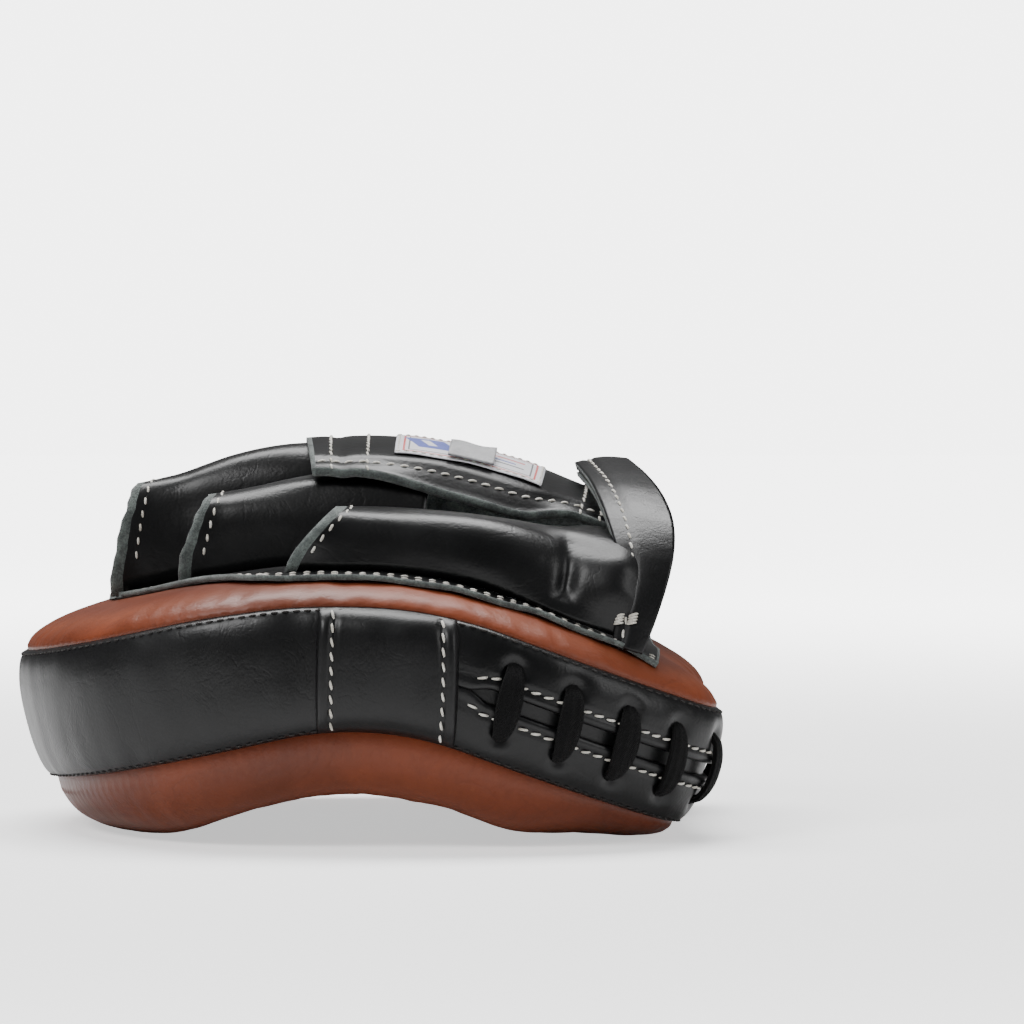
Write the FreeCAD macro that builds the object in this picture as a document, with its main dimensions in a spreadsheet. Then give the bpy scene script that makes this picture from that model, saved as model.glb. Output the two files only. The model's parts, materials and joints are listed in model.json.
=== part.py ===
"""Curved focus mitt for the left hand: a padded leather shield with a glove sewn on its back.

Arch frame, in which every piece is drawn:
  +X points to the wrist end, -Y to the little finger, +Z out of the back of the mitt.
  The origin is the centre of the bend. A straight slab leaves each end of the bend.
  "Level" is the distance from the middle surface of the padding, towards the back.
The finished mitt is then laid strike face down, with both ends of the arch on the ground (z = 0).
"""
import FreeCAD, Part
import math
import operator
import os

import Sketcher
from FreeCAD import Placement, Rotation, Vector

# ------------------------------------------------------------------ driving sizes
# Millimetres, and degrees for angles.
DIMENSIONS = (
    ("half_width", 96, "half of the width between the side seams"),
    ("bend_angle", 34, "whole angle of the bend"),
    ("bend_radius", 90, "radius of the middle surface in the bend"),
    ("finger_short", 10, "how much less the finger end reaches past the bend than the half width"),
    ("finger_tip_flat", 12, "how much flatter than a half circle the finger tip is, in radius"),
    ("lobe_reach", 48.7, "bend to the centre of a wrist lobe"),
    ("lobe_spread", 48, "centre line to the centre of a wrist lobe"),
    ("lobe_radius", 30, "outline radius of a wrist lobe"),
    ("notch_radius", 186, "outline radius of the shallow wrist notch"),
    ("wall_half", 19.25, "half height of the side wall between its seams"),
    ("wall_round", 5.4, "rounding of the side wall at both seams, a little under its bulge"),
    ("wall_bulge", 5.5, "how far the side wall stands outside its seams"),
    ("face_crown", 19, "depth of the padded strike face below its seam"),
    ("face_taper", 8, "angle by which the strike face thins towards the wrist end"),
    ("face_round", 6.5, "rounding of the strike face's rim"),
    ("back_crown", 9.5, "height of the padded back above its seam"),
    ("back_round", 8.5, "rounding of the back's rim"),
    ("skin", 1.8, "leather thickness"),
    ("seam_allowance", 5, "leather turned in behind each seam"),
    ("settle", 0.8, "how far the leather flattens where it rests"),
    ("fit_gap", 0.3, "clearance between pieces that only lie against each other"),
    ("patch_radius", 42, "radius of the round target patch"),
    ("patch_thickness", 1.4, "thickness of the target patch"),
    ("band_half", 22, "half width of the band over each side of the bend"),
    ("band_step", 1, "gap between a side band and each seam"),
    ("band_proud", 4, "how far a side band stands out of the wall"),
    ("slit_start", 0.5, "bend to the pointed end of the lacing slit"),
    ("slit_half", 2, "half height of the lacing slit"),
    ("slit_point", 9, "length of the slit's pointed end"),
    ("welt_half", 7, "half height of the welt behind the slit"),
    ("lace_count", 15, "number of lace bars"),
    ("lace_margin", 5, "slit's pointed end to the first lace bar"),
    ("lace_slant", -3, "upper hole past the lower hole of a bar, along the slit"),
    ("lace_half_span", 10.5, "slit centre line to a lace hole"),
    ("lace_radius", 1.6, "half thickness of the lace"),
    ("lace_hole_radius", 2.4, "radius of a lace hole"),
    ("lace_clear", 1.5, "room between the lace and the inside of the wall"),
    ("lace_stand", 2.2, "lace centre line above the wall"),
    ("knot_radius", 2, "radius of the lace's knots"),
    ("lace_fold", 2.6, "radius of the lace's turn through a hole"),
    ("core_inset", 9, "core foam inside the side seams"),
    ("base_leather", 1.5, "thickness of the glove leather"),
    ("base_near", 84, "centre line to the glove base's little finger edge"),
    ("base_far", 87, "centre line to the glove base's thumb edge"),
    ("base_tip", 86, "middle of the bend to the base's finger edge, in plan"),
    ("base_step", 32, "middle of the bend to the little finger's step, in plan"),
    ("base_wrist", 87, "middle of the bend to the base's wrist edge, in plan"),
    ("base_taper", 12, "how far the base narrows to its wrist edge"),
    ("sleeve_width", 26, "outer width of a finger sleeve"),
    ("sleeve_pitch", 27, "distance between two finger sleeves"),
    ("little_finger_offset", 58, "centre line to the little finger sleeve"),
    ("little_height", 16, "height of the little finger sleeve"),
    ("ring_height", 23, "height of the ring finger sleeve"),
    ("middle_height", 35, "height of the middle finger sleeve"),
    ("index_height", 31, "height of the index finger sleeve"),
    ("little_start", 8, "angle from the middle of the bend to the little finger's opening"),
    ("little_run", 40, "bend to the wrist edge of the little finger sleeve"),
    ("ring_reach", 20, "bend to the ring finger's opening"),
    ("middle_reach", 45, "bend to the middle finger's opening"),
    ("index_reach", 36, "bend to the index finger's opening"),
    ("panel_start", 10.5, "angle from the middle of the bend to the hand panel's finger edge"),
    ("panel_run", 24, "bend to the wrist edge of the hand panel"),
    ("panel_near", 43, "centre line to the hand panel's little finger edge"),
    ("panel_far", 43, "centre line to the hand panel's thumb edge"),
    ("panel_height", 39, "top of the hand panel above the glove base"),
    ("panel_edge_height", 31, "edges of the hand panel above the glove base"),
    ("panel_leather", 2, "thickness of the hand panel"),
    ("hand_padding", 4, "thickness of the padding under the hand panel"),
    ("padding_margin", 5, "hand panel's edge to the padding's edge"),
    ("thumb_panel_foot", 51.5, "centre line to the foot of the thumb side panel"),
    ("thumb_panel_run", 30, "bend to the wrist edge of the thumb side panel"),
    ("thumb_length", 46, "length of the thumb sleeve"),
    ("thumb_turn", 12, "angle of the thumb sleeve to the centre line"),
    ("thumb_width", 27, "outer width of the thumb sleeve"),
    ("thumb_height", 25, "height of the thumb sleeve"),
    ("thumb_side", 71, "centre line to the middle of the thumb sleeve"),
    ("thumb_run", 3, "bend to the middle of the thumb sleeve"),
    ("cuff_half", 74, "centre line to the foot of the wrist cuff"),
    ("cuff_run", 52, "bend to the wrist edge of the cuff's feet"),
    ("cuff_height", 50, "height of the wrist cuff"),
    ("cuff_length", 9, "width of the wrist cuff's band"),
    ("cuff_leather", 2.4, "thickness of the wrist cuff"),
    ("cuff_lean", 34, "angle at which the cuff leans to the fingers"),
    ("lining_leather", 1.6, "thickness of the cuff lining"),
    ("label_length", 49, "length of the sewn label"),
    ("label_width", 28, "width of the sewn label"),
    ("label_thickness", 0.6, "thickness of the sewn label"),
    ("label_side", 21, "centre line to the middle of the label"),
    ("tag_length", 15, "length of the folded size tag along its seam"),
    ("tag_width", 17, "reach of the folded size tag across the label"),
    ("tag_angle", 9, "angle from the middle of the bend to the middle of the tag"),
    ("tag_thickness", 0.8, "thickness of the folded size tag"),
)

FAR = 400.0
SURFACE_MATCH = 0.02
PAST = 1

doc = FreeCAD.newDocument("focus_mitt")
sheet = doc.addObject("Spreadsheet::Sheet", "Dimensions")
for row, (alias, number, meaning) in enumerate(DIMENSIONS, 1):
    sheet.set(f"A{row}", meaning)
    sheet.set(f"B{row}", str(number))
    sheet.setAlias(f"B{row}", alias)
doc.recompute()


# ------------------------------------------------------------------ sizes that know their formula
class Size:
    """A number worked out from the sheet, together with the expression that gives it."""

    def __init__(self, number, formula):
        self.number = float(number)
        self.formula = formula

    def joined(self, other, sign, work):
        other = as_size(other)
        return Size(work(self.number, other.number), f"({self.formula} {sign} {other.formula})")

    def __add__(self, other):
        return self.joined(other, "+", operator.add)

    def __sub__(self, other):
        return self.joined(other, "-", operator.sub)

    def __mul__(self, other):
        return self.joined(other, "*", operator.mul)

    def __truediv__(self, other):
        return self.joined(other, "/", operator.truediv)

    def __neg__(self):
        return Size(-self.number, f"(-1 * {self.formula})")


def as_size(value):
    return value if isinstance(value, Size) else Size(value, repr(float(value)))


def size(alias):
    return Size(sheet.get(alias), f"Dimensions.{alias}")


def mm(alias):
    """The plain number of a sheet size, for shapes that are worked out in code."""
    return float(sheet.get(alias))


def bind(thing, name, value):
    """Set a property from a size, and tie it to the sheet."""
    thing.setExpression(name, as_size(value).formula)


half_bend = size("bend_angle") / 2
WALL_TOP = size("wall_half")
WALL_BOTTOM = -size("wall_half")
FACE_LEVEL = WALL_BOTTOM - size("face_crown")
BACK_LEVEL = WALL_TOP + size("back_crown")
BASE_TOP = BACK_LEVEL + size("base_leather")


def radius_of(level):
    return size("bend_radius") + level


# ------------------------------------------------------------------ sketch helpers
def new_body(name):
    body = doc.addObject("PartDesign::Body", name)
    body.Label = name
    return body


def sketch_on(body, role, name):
    plane = next(item for item in body.Origin.OriginFeatures if item.Role == role)
    sketch = body.newObject("Sketcher::SketchObject", name)
    sketch.AttachmentSupport = (plane, "")
    sketch.MapMode = "FlatFace"
    return sketch


def named_constraint(sketch, name, value, *arguments):
    """Add a dimension whose value follows the sheet."""
    value = as_size(value)
    kind = arguments[0]
    index = sketch.addConstraint(Sketcher.Constraint(kind, *arguments[1:], value.number))
    sketch.renameConstraint(index, name)
    sketch.setExpression(f"Constraints.{name}", value.formula)


def polygon(sketch, corners):
    """A closed outline of straight lines through corners given as (size, size)."""
    points = [Vector(as_size(across).number, as_size(up).number, 0) for across, up in corners]
    lines = []
    for index, point in enumerate(points):
        following = points[(index + 1) % len(points)]
        lines.append(sketch.addGeometry(Part.LineSegment(point, following)))
    for index, line in enumerate(lines):
        following = lines[(index + 1) % len(lines)]
        sketch.addConstraint(Sketcher.Constraint("Coincident", line, 2, following, 1))
    for index, (across, up) in enumerate(corners):
        named_constraint(sketch, f"across_{index}", across, "DistanceX", -1, 1, lines[index], 1)
        named_constraint(sketch, f"up_{index}", up, "DistanceY", -1, 1, lines[index], 1)


def arc_about(centre, radius, start, end):
    """The counter-clockwise arc between two points."""
    first = math.atan2(start.y - centre.y, start.x - centre.x)
    last = math.atan2(end.y - centre.y, end.x - centre.x)
    if last <= first:
        last += 2 * math.pi
    circle = Part.Circle(centre, Vector(0, 0, 1), radius)
    return Part.ArcOfCircle(circle, first, last)


def step_towards(start, target, distance):
    direction = target - start
    direction.normalize()
    return start + direction * distance


def close_across(sketch, first_arc, last_arc, top, bottom, half):
    """Close an outline with the straight edge across the mitt at the end of the bend."""
    edge = sketch.addGeometry(Part.LineSegment(top, bottom))
    sketch.addConstraint(Sketcher.Constraint("Coincident", last_arc, 2, edge, 1))
    sketch.addConstraint(Sketcher.Constraint("Coincident", edge, 2, first_arc, 1))
    sketch.addConstraint(Sketcher.Constraint("PointOnObject", edge, 1, -2))
    sketch.addConstraint(Sketcher.Constraint("PointOnObject", edge, 2, -2))
    sign = 1 if top.y > 0 else -1
    named_constraint(sketch, "edge_start", half * sign, "DistanceY", -1, 1, edge, 1)
    named_constraint(sketch, "edge_end", half * -sign, "DistanceY", -1, 1, edge, 2)


def finger_points(grow):
    """Centres, radii and joints of the finger end's outline, in its slab's plane."""
    half = mm("half_width") + grow
    seam_radius = mm("half_width") + mm("finger_tip_flat")
    tip_radius = seam_radius + grow
    tip_centre = Vector(mm("finger_tip_flat") + mm("finger_short"), 0, 0)
    spare = tip_radius - half
    side_y = (tip_centre.x ** 2 - spare ** 2) / (2 * spare)
    side_centre = Vector(0, side_y, 0)
    side_radius = half - side_y
    joint = step_towards(tip_centre, side_centre, tip_radius)
    return half, tip_radius, tip_centre, side_centre, side_radius, joint


def finger_outline(sketch, grow):
    half, tip_radius, tip_centre, side_centre, side_radius, joint = finger_points(grow.number)
    top = Vector(0, half, 0)
    other_centre = Vector(0, -side_centre.y, 0)
    other_joint = Vector(joint.x, -joint.y, 0)
    far_side = sketch.addGeometry(arc_about(side_centre, side_radius, top, joint))
    tip = sketch.addGeometry(arc_about(tip_centre, tip_radius, joint, other_joint))
    near_side = sketch.addGeometry(arc_about(other_centre, side_radius, other_joint, -top))
    sketch.addConstraint(Sketcher.Constraint("Tangent", far_side, 2, tip, 1))
    sketch.addConstraint(Sketcher.Constraint("Tangent", tip, 2, near_side, 1))
    sketch.addConstraint(Sketcher.Constraint("PointOnObject", far_side, 3, -2))
    sketch.addConstraint(Sketcher.Constraint("PointOnObject", near_side, 3, -2))
    sketch.addConstraint(Sketcher.Constraint("PointOnObject", tip, 3, -1))
    seam_radius = size("half_width") + size("finger_tip_flat")
    centre_x = size("finger_tip_flat") + size("finger_short")
    named_constraint(sketch, "tip_centre", centre_x, "DistanceX", -1, 1, tip, 3)
    named_constraint(sketch, "tip_radius", seam_radius + grow, "Radius", tip)
    close_across(sketch, far_side, near_side, -top, top, size("half_width") + grow)


def wrist_points(grow):
    """Centres, radii and joints of the wrist end's outline, in its slab's plane."""
    half = mm("half_width") + grow
    lobe_radius = mm("lobe_radius") + grow
    notch_radius = mm("notch_radius") - grow
    lobe = Vector(mm("lobe_reach"), mm("lobe_spread"), 0)
    room = half - lobe.y
    side_radius = (lobe.x ** 2 + room ** 2 - lobe_radius ** 2) / (2 * (room - lobe_radius))
    side_centre = Vector(0, half - side_radius, 0)
    reach = math.sqrt((notch_radius + lobe_radius) ** 2 - lobe.y ** 2)
    notch_centre = Vector(lobe.x + reach, 0, 0)
    side_joint = step_towards(side_centre, lobe, side_radius)
    notch_joint = step_towards(lobe, notch_centre, lobe_radius)
    return (half, lobe_radius, notch_radius, lobe, side_centre, side_radius, notch_centre,
            side_joint, notch_joint)


def mirrored(point):
    return Vector(point.x, -point.y, 0)


def wrist_arcs(grow):
    """The five arcs of the wrist end's outline, counter-clockwise from the little finger side.

    The notch arc bends the other way, so it is stored from its thumb end.
    """
    (half, lobe_radius, notch_radius, lobe, side_centre, side_radius,
     notch_centre, side_joint, notch_joint) = wrist_points(grow)
    top = Vector(0, half, 0)
    return (
        arc_about(mirrored(side_centre), side_radius, mirrored(top), mirrored(side_joint)),
        arc_about(mirrored(lobe), lobe_radius, mirrored(side_joint), mirrored(notch_joint)),
        arc_about(notch_centre, notch_radius, notch_joint, mirrored(notch_joint)),
        arc_about(lobe, lobe_radius, notch_joint, side_joint),
        arc_about(side_centre, side_radius, side_joint, top),
    )


def wrist_outline(sketch, grow):
    near_side, near_lobe, notch, far_lobe, far_side = [
        sketch.addGeometry(arc) for arc in wrist_arcs(grow.number)]
    for joint in ((near_side, 2, near_lobe, 1), (near_lobe, 2, notch, 2),
                  (notch, 1, far_lobe, 1), (far_lobe, 2, far_side, 1)):
        sketch.addConstraint(Sketcher.Constraint("Tangent", *joint))
    sketch.addConstraint(Sketcher.Constraint("PointOnObject", near_side, 3, -2))
    sketch.addConstraint(Sketcher.Constraint("PointOnObject", far_side, 3, -2))
    for name, lobe, sign in (("near", near_lobe, -1), ("far", far_lobe, 1)):
        named_constraint(sketch, f"{name}_reach", size("lobe_reach"), "DistanceX", -1, 1, lobe, 3)
        named_constraint(sketch, f"{name}_spread", size("lobe_spread") * sign, "DistanceY", -1, 1, lobe, 3)
        named_constraint(sketch, f"{name}_radius", size("lobe_radius") + grow, "Radius", lobe)
    named_constraint(sketch, "notch_radius", size("notch_radius") - grow, "Radius", notch)
    top = Vector(0, mm("half_width") + grow.number, 0)
    close_across(sketch, near_side, far_side, top, -top, size("half_width") + grow)


# ------------------------------------------------------------------ arch helpers
FINGER = -1
WRIST = 1


def tilt_sketch(sketch, side, level=None):
    """Turn a sketch into the plane of one slab, at a level or through the bend's centre."""
    sketch.AttachmentOffset = Placement(Vector(), Rotation(Vector(0, 1, 0), 1))
    angle = half_bend * side
    bind(sketch, "AttachmentOffset.Rotation.Angle", angle)
    if level is None:
        return
    distance = radius_of(level).formula
    sketch.setExpression("AttachmentOffset.Base.x", f"{distance} * sin({angle.formula} * 1 deg)")
    sketch.setExpression("AttachmentOffset.Base.z", f"{distance} * cos({angle.formula} * 1 deg)")


def tilt_xz(sketch, angle):
    """Turn a side-view sketch so that its vertical axis is the bend's radius at an angle."""
    sketch.AttachmentOffset = Placement(Vector(), Rotation(Vector(0, 0, 1), 1))
    bind(sketch, "AttachmentOffset.Rotation.Angle", -angle)


def pad(body, sketch, name, length, reverse=False):
    feature = body.newObject("PartDesign::Pad", name)
    feature.Profile = (sketch, [""])
    bind(feature, "Length", length)
    feature.Reversed = reverse
    body.Tip = feature
    return feature


def turn_about_bend(body, sketch, name, angle, middle=True, reverse=False):
    feature = body.newObject("PartDesign::Revolution", name)
    feature.Profile = (sketch, [""])
    feature.ReferenceAxis = (sketch, ["H_Axis"])
    bind(feature, "Angle", angle)
    feature.Midplane = middle
    feature.Reversed = reverse
    body.Tip = feature
    return feature


def level_of(point):
    """Level of a point of the arch frame."""
    angle = math.atan2(point.x, point.z)
    half = math.radians(mm("bend_angle") / 2)
    if abs(angle) <= half:
        return math.hypot(point.x, point.z) - mm("bend_radius")
    side = math.copysign(half, angle)
    return point.x * math.sin(side) + point.z * math.cos(side) - mm("bend_radius")


def face_level_of(point):
    """Level of a point measured to the strike face, which thins towards the wrist end."""
    start = math.radians(mm("bend_angle") / 2 - mm("face_taper"))
    if math.atan2(point.x, point.z) <= start:
        return level_of(point)
    return point.x * math.sin(start) + point.z * math.cos(start) - mm("bend_radius")


def runs_across(edge):
    """True for the straight edges that cross the mitt where the bend meets a slab."""
    return isinstance(edge.Curve, Part.Line) and abs(edge.tangentAt(edge.FirstParameter).y) > 0.99


def rim_edges(shape, level, measure):
    """Names of the rim edges of a layer that lie at one level."""
    names = []
    for index, edge in enumerate(shape.Edges, 1):
        middle = edge.valueAt((edge.FirstParameter + edge.LastParameter) / 2)
        if abs(measure(middle) - level) < SURFACE_MATCH and not runs_across(edge):
            names.append(f"Edge{index}")
    return names


def thin_towards_wrist(body, name, low):
    """Cut a strike face layer along a plane that leaves its lower face at a tangent in the bend."""
    side_view = sketch_on(body, "XZ_Plane", name + "_taper_view")
    tilt_xz(side_view, half_bend - size("face_taper"))
    radius = radius_of(low)
    below = radius - size("half_width")
    polygon(side_view, ((0, radius), (FAR, radius), (FAR, below), (0, below)))
    before = body.Tip.Shape.Volume
    taper = body.newObject("PartDesign::Pocket", name + "_taper")
    taper.Profile = (side_view, [""])
    taper.Length = 2 * FAR
    taper.Midplane = True
    body.Tip = taper
    doc.recompute()
    if taper.Shape.Volume >= before:
        raise RuntimeError(f"{name}: the taper cut nothing")


def layer(name, grow, low, high, rounding=None, rounded=(), tapered=False):
    """A slab that follows the whole arch between two levels, with the mitt's outline grown."""
    grow = as_size(grow)
    low = as_size(low)
    high = as_size(high)
    body = new_body(name)
    half = size("half_width") + grow
    section = sketch_on(body, "YZ_Plane", name + "_section")
    inner = radius_of(low)
    outer = radius_of(high)
    polygon(section, ((-half, inner), (half, inner), (half, outer), (-half, outer)))
    turn_about_bend(body, section, name + "_bend", size("bend_angle"))
    for side, end, outline in ((FINGER, "finger", finger_outline), (WRIST, "wrist", wrist_outline)):
        plan = sketch_on(body, "XY_Plane", f"{name}_{end}_outline")
        tilt_sketch(plan, side, low)
        outline(plan, grow)
        pad(body, plan, f"{name}_{end}_slab", high - low)
    doc.recompute()
    measure = level_of
    if tapered:
        thin_towards_wrist(body, name, low)
        measure = face_level_of
    if rounding is not None:
        slab = body.Tip
        edges = [edge for level in rounded for edge in rim_edges(slab.Shape, level.number, measure)]
        fillet = body.newObject("PartDesign::Fillet", name + "_rim")
        fillet.Base = (slab, edges)
        bind(fillet, "Radius", rounding)
        body.Tip = fillet
        doc.recompute()
    return body


def combined(kind, name, base, tool):
    result = doc.addObject(kind, name)
    result.Label = name
    result.Base = base
    result.Tool = tool
    return result


def cut(name, base, tool):
    return combined("Part::Cut", name, base, tool)


def common(name, base, tool):
    return combined("Part::Common", name, base, tool)


def half_space(name, side):
    """A very large box on one side of the plane across the middle of the bend."""
    box = doc.addObject("Part::Box", name)
    box.Length = FAR
    box.Width = 2 * FAR
    box.Height = 2 * FAR
    corner = 0.0 if side == WRIST else -FAR
    box.Placement = Placement(Vector(corner, -FAR, -FAR), Rotation())
    return box


def arch_placement(angle, along, across, level):
    """Placement on the arch: X along the mitt, Z out of its back, at an angle round the bend."""
    turn = Rotation(Vector(0, 1, 0), angle)
    position = turn.multVec(Vector(along, across, mm("bend_radius") + level))
    return Placement(position, turn)


def slab_placement(side, run, across, level):
    """Placement of a piece on one slab, at a run from the bend."""
    return arch_placement(side * mm("bend_angle") / 2, side * run, across, level)


# ------------------------------------------------------------------ padded shield
def shell_of_cover(name, level, seam_level, rounding):
    """Crowned leather cover: a rounded slab hollowed to the leather's thickness."""
    is_face = level.number < seam_level.number
    inward = size("skin") if is_face else -size("skin")
    low, high = sorted((level, seam_level), key=lambda item: item.number)
    outer = layer(name + "_outside", 0, low, high, rounding, (level,), is_face)
    inner_level = level + inward
    low, high = sorted((inner_level, seam_level + inward), key=lambda item: item.number)
    inner_rounding = rounding - size("skin")
    inner = layer(name + "_inside", -size("skin"), low, high, inner_rounding, (inner_level,), is_face)
    return cut(name + "_shell", outer, inner), outer


def rest_tilt():
    """Angle about Y that puts the rounded rims of both ends on one level ground."""
    round_radius = mm("bend_radius") + FACE_LEVEL.number + mm("face_round")
    finger_run = mm("half_width") - mm("finger_short") - mm("face_round")
    wrist_run = mm("lobe_reach") + mm("lobe_radius") - mm("face_round")
    taper = math.radians(mm("face_taper"))
    wrist_radius = (round_radius + wrist_run * math.sin(taper)) / math.cos(taper)
    finger = slab_placement(FINGER, finger_run, 0, round_radius - mm("bend_radius")).Base
    wrist = slab_placement(WRIST, wrist_run, 0, wrist_radius - mm("bend_radius")).Base
    return math.degrees(math.atan2(wrist.z - finger.z, wrist.x - finger.x))


TILT = Rotation(Vector(0, 1, 0), rest_tilt())


def lowest_when_tilted(shape):
    tilted = shape.copy()
    tilted.Placement = Placement(Vector(), TILT).multiply(tilted.Placement)
    return tilted.optimalBoundingBox(False, False).ZMin


def strike_face_cover():
    shell, outer = shell_of_cover("strike_face", FACE_LEVEL, WALL_BOTTOM, size("face_round"))
    ground = doc.addObject("Part::Box", "ground_under_face")
    ground.Length = 2 * FAR
    ground.Width = 2 * FAR
    ground.Height = FAR
    ground_level = lowest_when_tilted(outer.Shape) + mm("settle")
    corner = Placement(Vector(-FAR, -FAR, ground_level - FAR), Rotation())
    ground.Placement = Placement(Vector(), TILT.inverted()).multiply(corner)
    return cut("strike_face_cover", shell, ground), ground_level


def back_cover():
    shell, _ = shell_of_cover("back", BACK_LEVEL, WALL_TOP, size("back_round"))
    shell.Label = "back_cover"
    return shell


def target_patch():
    """Round patch sewn on the middle of the strike face, following its hollow."""
    inset = -size("core_inset")
    under = layer("patch_under", inset, FACE_LEVEL - size("patch_thickness"), WALL_BOTTOM, tapered=True)
    over = layer("patch_over", 0, FACE_LEVEL, WALL_BOTTOM + size("skin"), tapered=True)
    plate = cut("patch_plate", under, over)
    punch = doc.addObject("Part::Cylinder", "patch_punch")
    bind(punch, "Radius", size("patch_radius"))
    punch.Height = mm("bend_radius")
    return common("target_patch", plate, punch)


def wall_ring():
    """Side wall leather all round: a bulged skin with its allowances turned in at both seams."""
    bulge = size("wall_bulge")
    skin = size("skin")
    clear = size("seam_allowance")
    rounding = size("wall_round")
    outer = layer("wall_outside", bulge, WALL_BOTTOM, WALL_TOP, rounding, (WALL_BOTTOM, WALL_TOP))
    inner = layer("wall_inside", bulge - skin, WALL_BOTTOM + skin, WALL_TOP - skin,
                  rounding - skin, (WALL_BOTTOM + skin, WALL_TOP - skin))
    middle = layer("wall_middle", -clear, WALL_BOTTOM - PAST, WALL_TOP + PAST)
    return cut("wall_ring", cut("wall_skin", outer, inner), middle), outer


def lacing_slit():
    """The slot between the two wrist gussets, with a point at each end."""
    body = new_body("lacing_slit")
    side_view = sketch_on(body, "XZ_Plane", "slit_side_view")
    tilt_xz(side_view, half_bend)
    start = size("slit_start")
    full = start + size("slit_point")
    middle = size("bend_radius")
    low = middle - size("slit_half")
    high = middle + size("slit_half")
    polygon(side_view, ((start, middle), (full, low), (FAR, low), (FAR, high), (full, high)))
    slot = pad(body, side_view, "slit_slot", 2 * FAR)
    slot.Midplane = True
    return body


def wrist_wire(grow):
    """The wrist outline as a wire, from the little finger side round to the thumb side."""
    near_side, near_lobe, notch, far_lobe, far_side = wrist_arcs(grow)
    arcs = (near_side, near_lobe, notch, far_lobe, far_side)
    edges = [arc.toShape() for arc in arcs]
    return Part.Wire(Part.__sortEdges__(edges))


class WristPath:
    """Points along the wrist end's wall, by the distance run from one end of the bend."""

    STEPS = 1200

    def __init__(self):
        points = wrist_wire(0).discretize(self.STEPS)
        if points[0].y > points[-1].y:
            points.reverse()
        self.points = points
        self.runs = [0.0]
        for first, second in zip(points, points[1:]):
            self.runs.append(self.runs[-1] + first.distanceToPoint(second))
        self.length = self.runs[-1]

    def at(self, run):
        """The seam point and its outward direction, in the wrist slab's plane."""
        index = max(1, min(len(self.points) - 2, sum(1 for value in self.runs if value < run)))
        along = self.points[index + 1] - self.points[index - 1]
        along.normalize()
        return self.points[index], Vector(along.y, -along.x, 0)

    def place(self, run, outward, level):
        """The arch-frame point at a run along the wall, an offset from the seam and a level."""
        seam, normal = self.at(run)
        flat = seam + normal * outward
        return slab_placement(WRIST, flat.x, flat.y, level).Base

    def direction(self, run):
        _, normal = self.at(run)
        return Rotation(Vector(0, 1, 0), mm("bend_angle") / 2).multVec(normal)


def lace_stations(path):
    """Runs of the lower and the upper hole of each lace bar."""
    first = mm("slit_start") + mm("slit_point") + mm("lace_margin")
    last = path.length - first
    count = int(mm("lace_count"))
    step = (last - first) / (count - 1)
    lean = mm("lace_slant") / 2
    return [(first + index * step - lean, first + index * step + lean) for index in range(count)]


def lace_hole_punches(path):
    """Round holes through both wrist gussets, one above the other for each bar of the lace."""
    punches = []
    depth = 4 * mm("wall_bulge")
    for lower_run, upper_run in lace_stations(path):
        for run, level in ((lower_run, -mm("lace_half_span")), (upper_run, mm("lace_half_span"))):
            start = path.place(run, -mm("wall_bulge"), level)
            punches.append(Part.makeCylinder(mm("lace_hole_radius"), depth, start, path.direction(run)))
    holes = doc.addObject("Part::Feature", "lace_hole_punches")
    holes.Shape = Part.makeCompound(punches)
    return holes


def lace_route(path):
    """Whip stitch: up over the wall, in through the upper hole, back down inside to the next bar."""
    outside = mm("wall_bulge") + mm("lace_stand")
    inside = mm("wall_bulge") - mm("skin") * 2 - mm("lace_radius") - mm("lace_clear")
    reach = mm("lace_half_span")
    route = []
    for lower_run, upper_run in lace_stations(path):
        route.append(path.place(lower_run, inside, -reach))
        route.append(path.place(lower_run, outside, -reach))
        route.append(path.place(upper_run, outside, reach))
        route.append(path.place(upper_run, inside, reach))
    return route


def rounded_path(route, fold):
    """Straight runs joined by tangent arcs of one radius."""
    edges = []
    start = route[0]
    for before, corner, after in zip(route, route[1:], route[2:]):
        back = before - corner
        ahead = after - corner
        back.normalize()
        ahead.normalize()
        half_turn = (math.pi - back.getAngle(ahead)) / 2
        trim = fold * math.tan(half_turn)
        first = corner + back * trim
        last = corner + ahead * trim
        bisector = back + ahead
        bisector.normalize()
        middle = corner + bisector * (fold / math.cos(half_turn) - fold)
        edges.append(Part.LineSegment(start, first).toShape())
        edges.append(Part.Arc(first, middle, last).toShape())
        start = last
    edges.append(Part.LineSegment(start, route[-1]).toShape())
    return Part.Wire(edges)


def lace(path):
    """The whole lace, threaded through every punched hole."""
    route = lace_route(path)
    line = rounded_path(route, mm("lace_fold"))
    circle = Part.Circle(route[0], route[1] - route[0], mm("lace_radius"))
    sweep = Part.BRepOffsetAPI.MakePipeShell(line)
    sweep.add(Part.Wire([circle.toShape()]))
    sweep.build()
    sweep.makeSolid()
    result = doc.addObject("Part::Feature", "lace")
    result.Label = "lace"
    result.Shape = sweep.shape()
    expected = math.pi * mm("lace_radius") ** 2 * line.Length
    print(f"lace: {line.Length:.0f} mm long, folds {mm('lace_fold')} mm, "
          f"volume {result.Shape.Volume:.0f} of {expected:.0f} mm3")
    return result


def lace_knot(path):
    """Tied end of the lace, on the wall past the last bar on the thumb side."""
    last_run = max(lace_stations(path)[-1])
    radius = mm("knot_radius")
    first_run = last_run + mm("lace_hole_radius") + radius + mm("fit_gap")
    wraps = []
    for run, level in ((first_run, radius), (first_run + 2 * radius, -radius)):
        centre = path.place(run, mm("wall_bulge") + radius, level)
        wraps.append(Part.makeSphere(radius, centre))
    result = doc.addObject("Part::Feature", "lace_knot")
    result.Label = "lace_knot"
    result.Shape = wraps[0].fuse(wraps[1])
    return result


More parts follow.
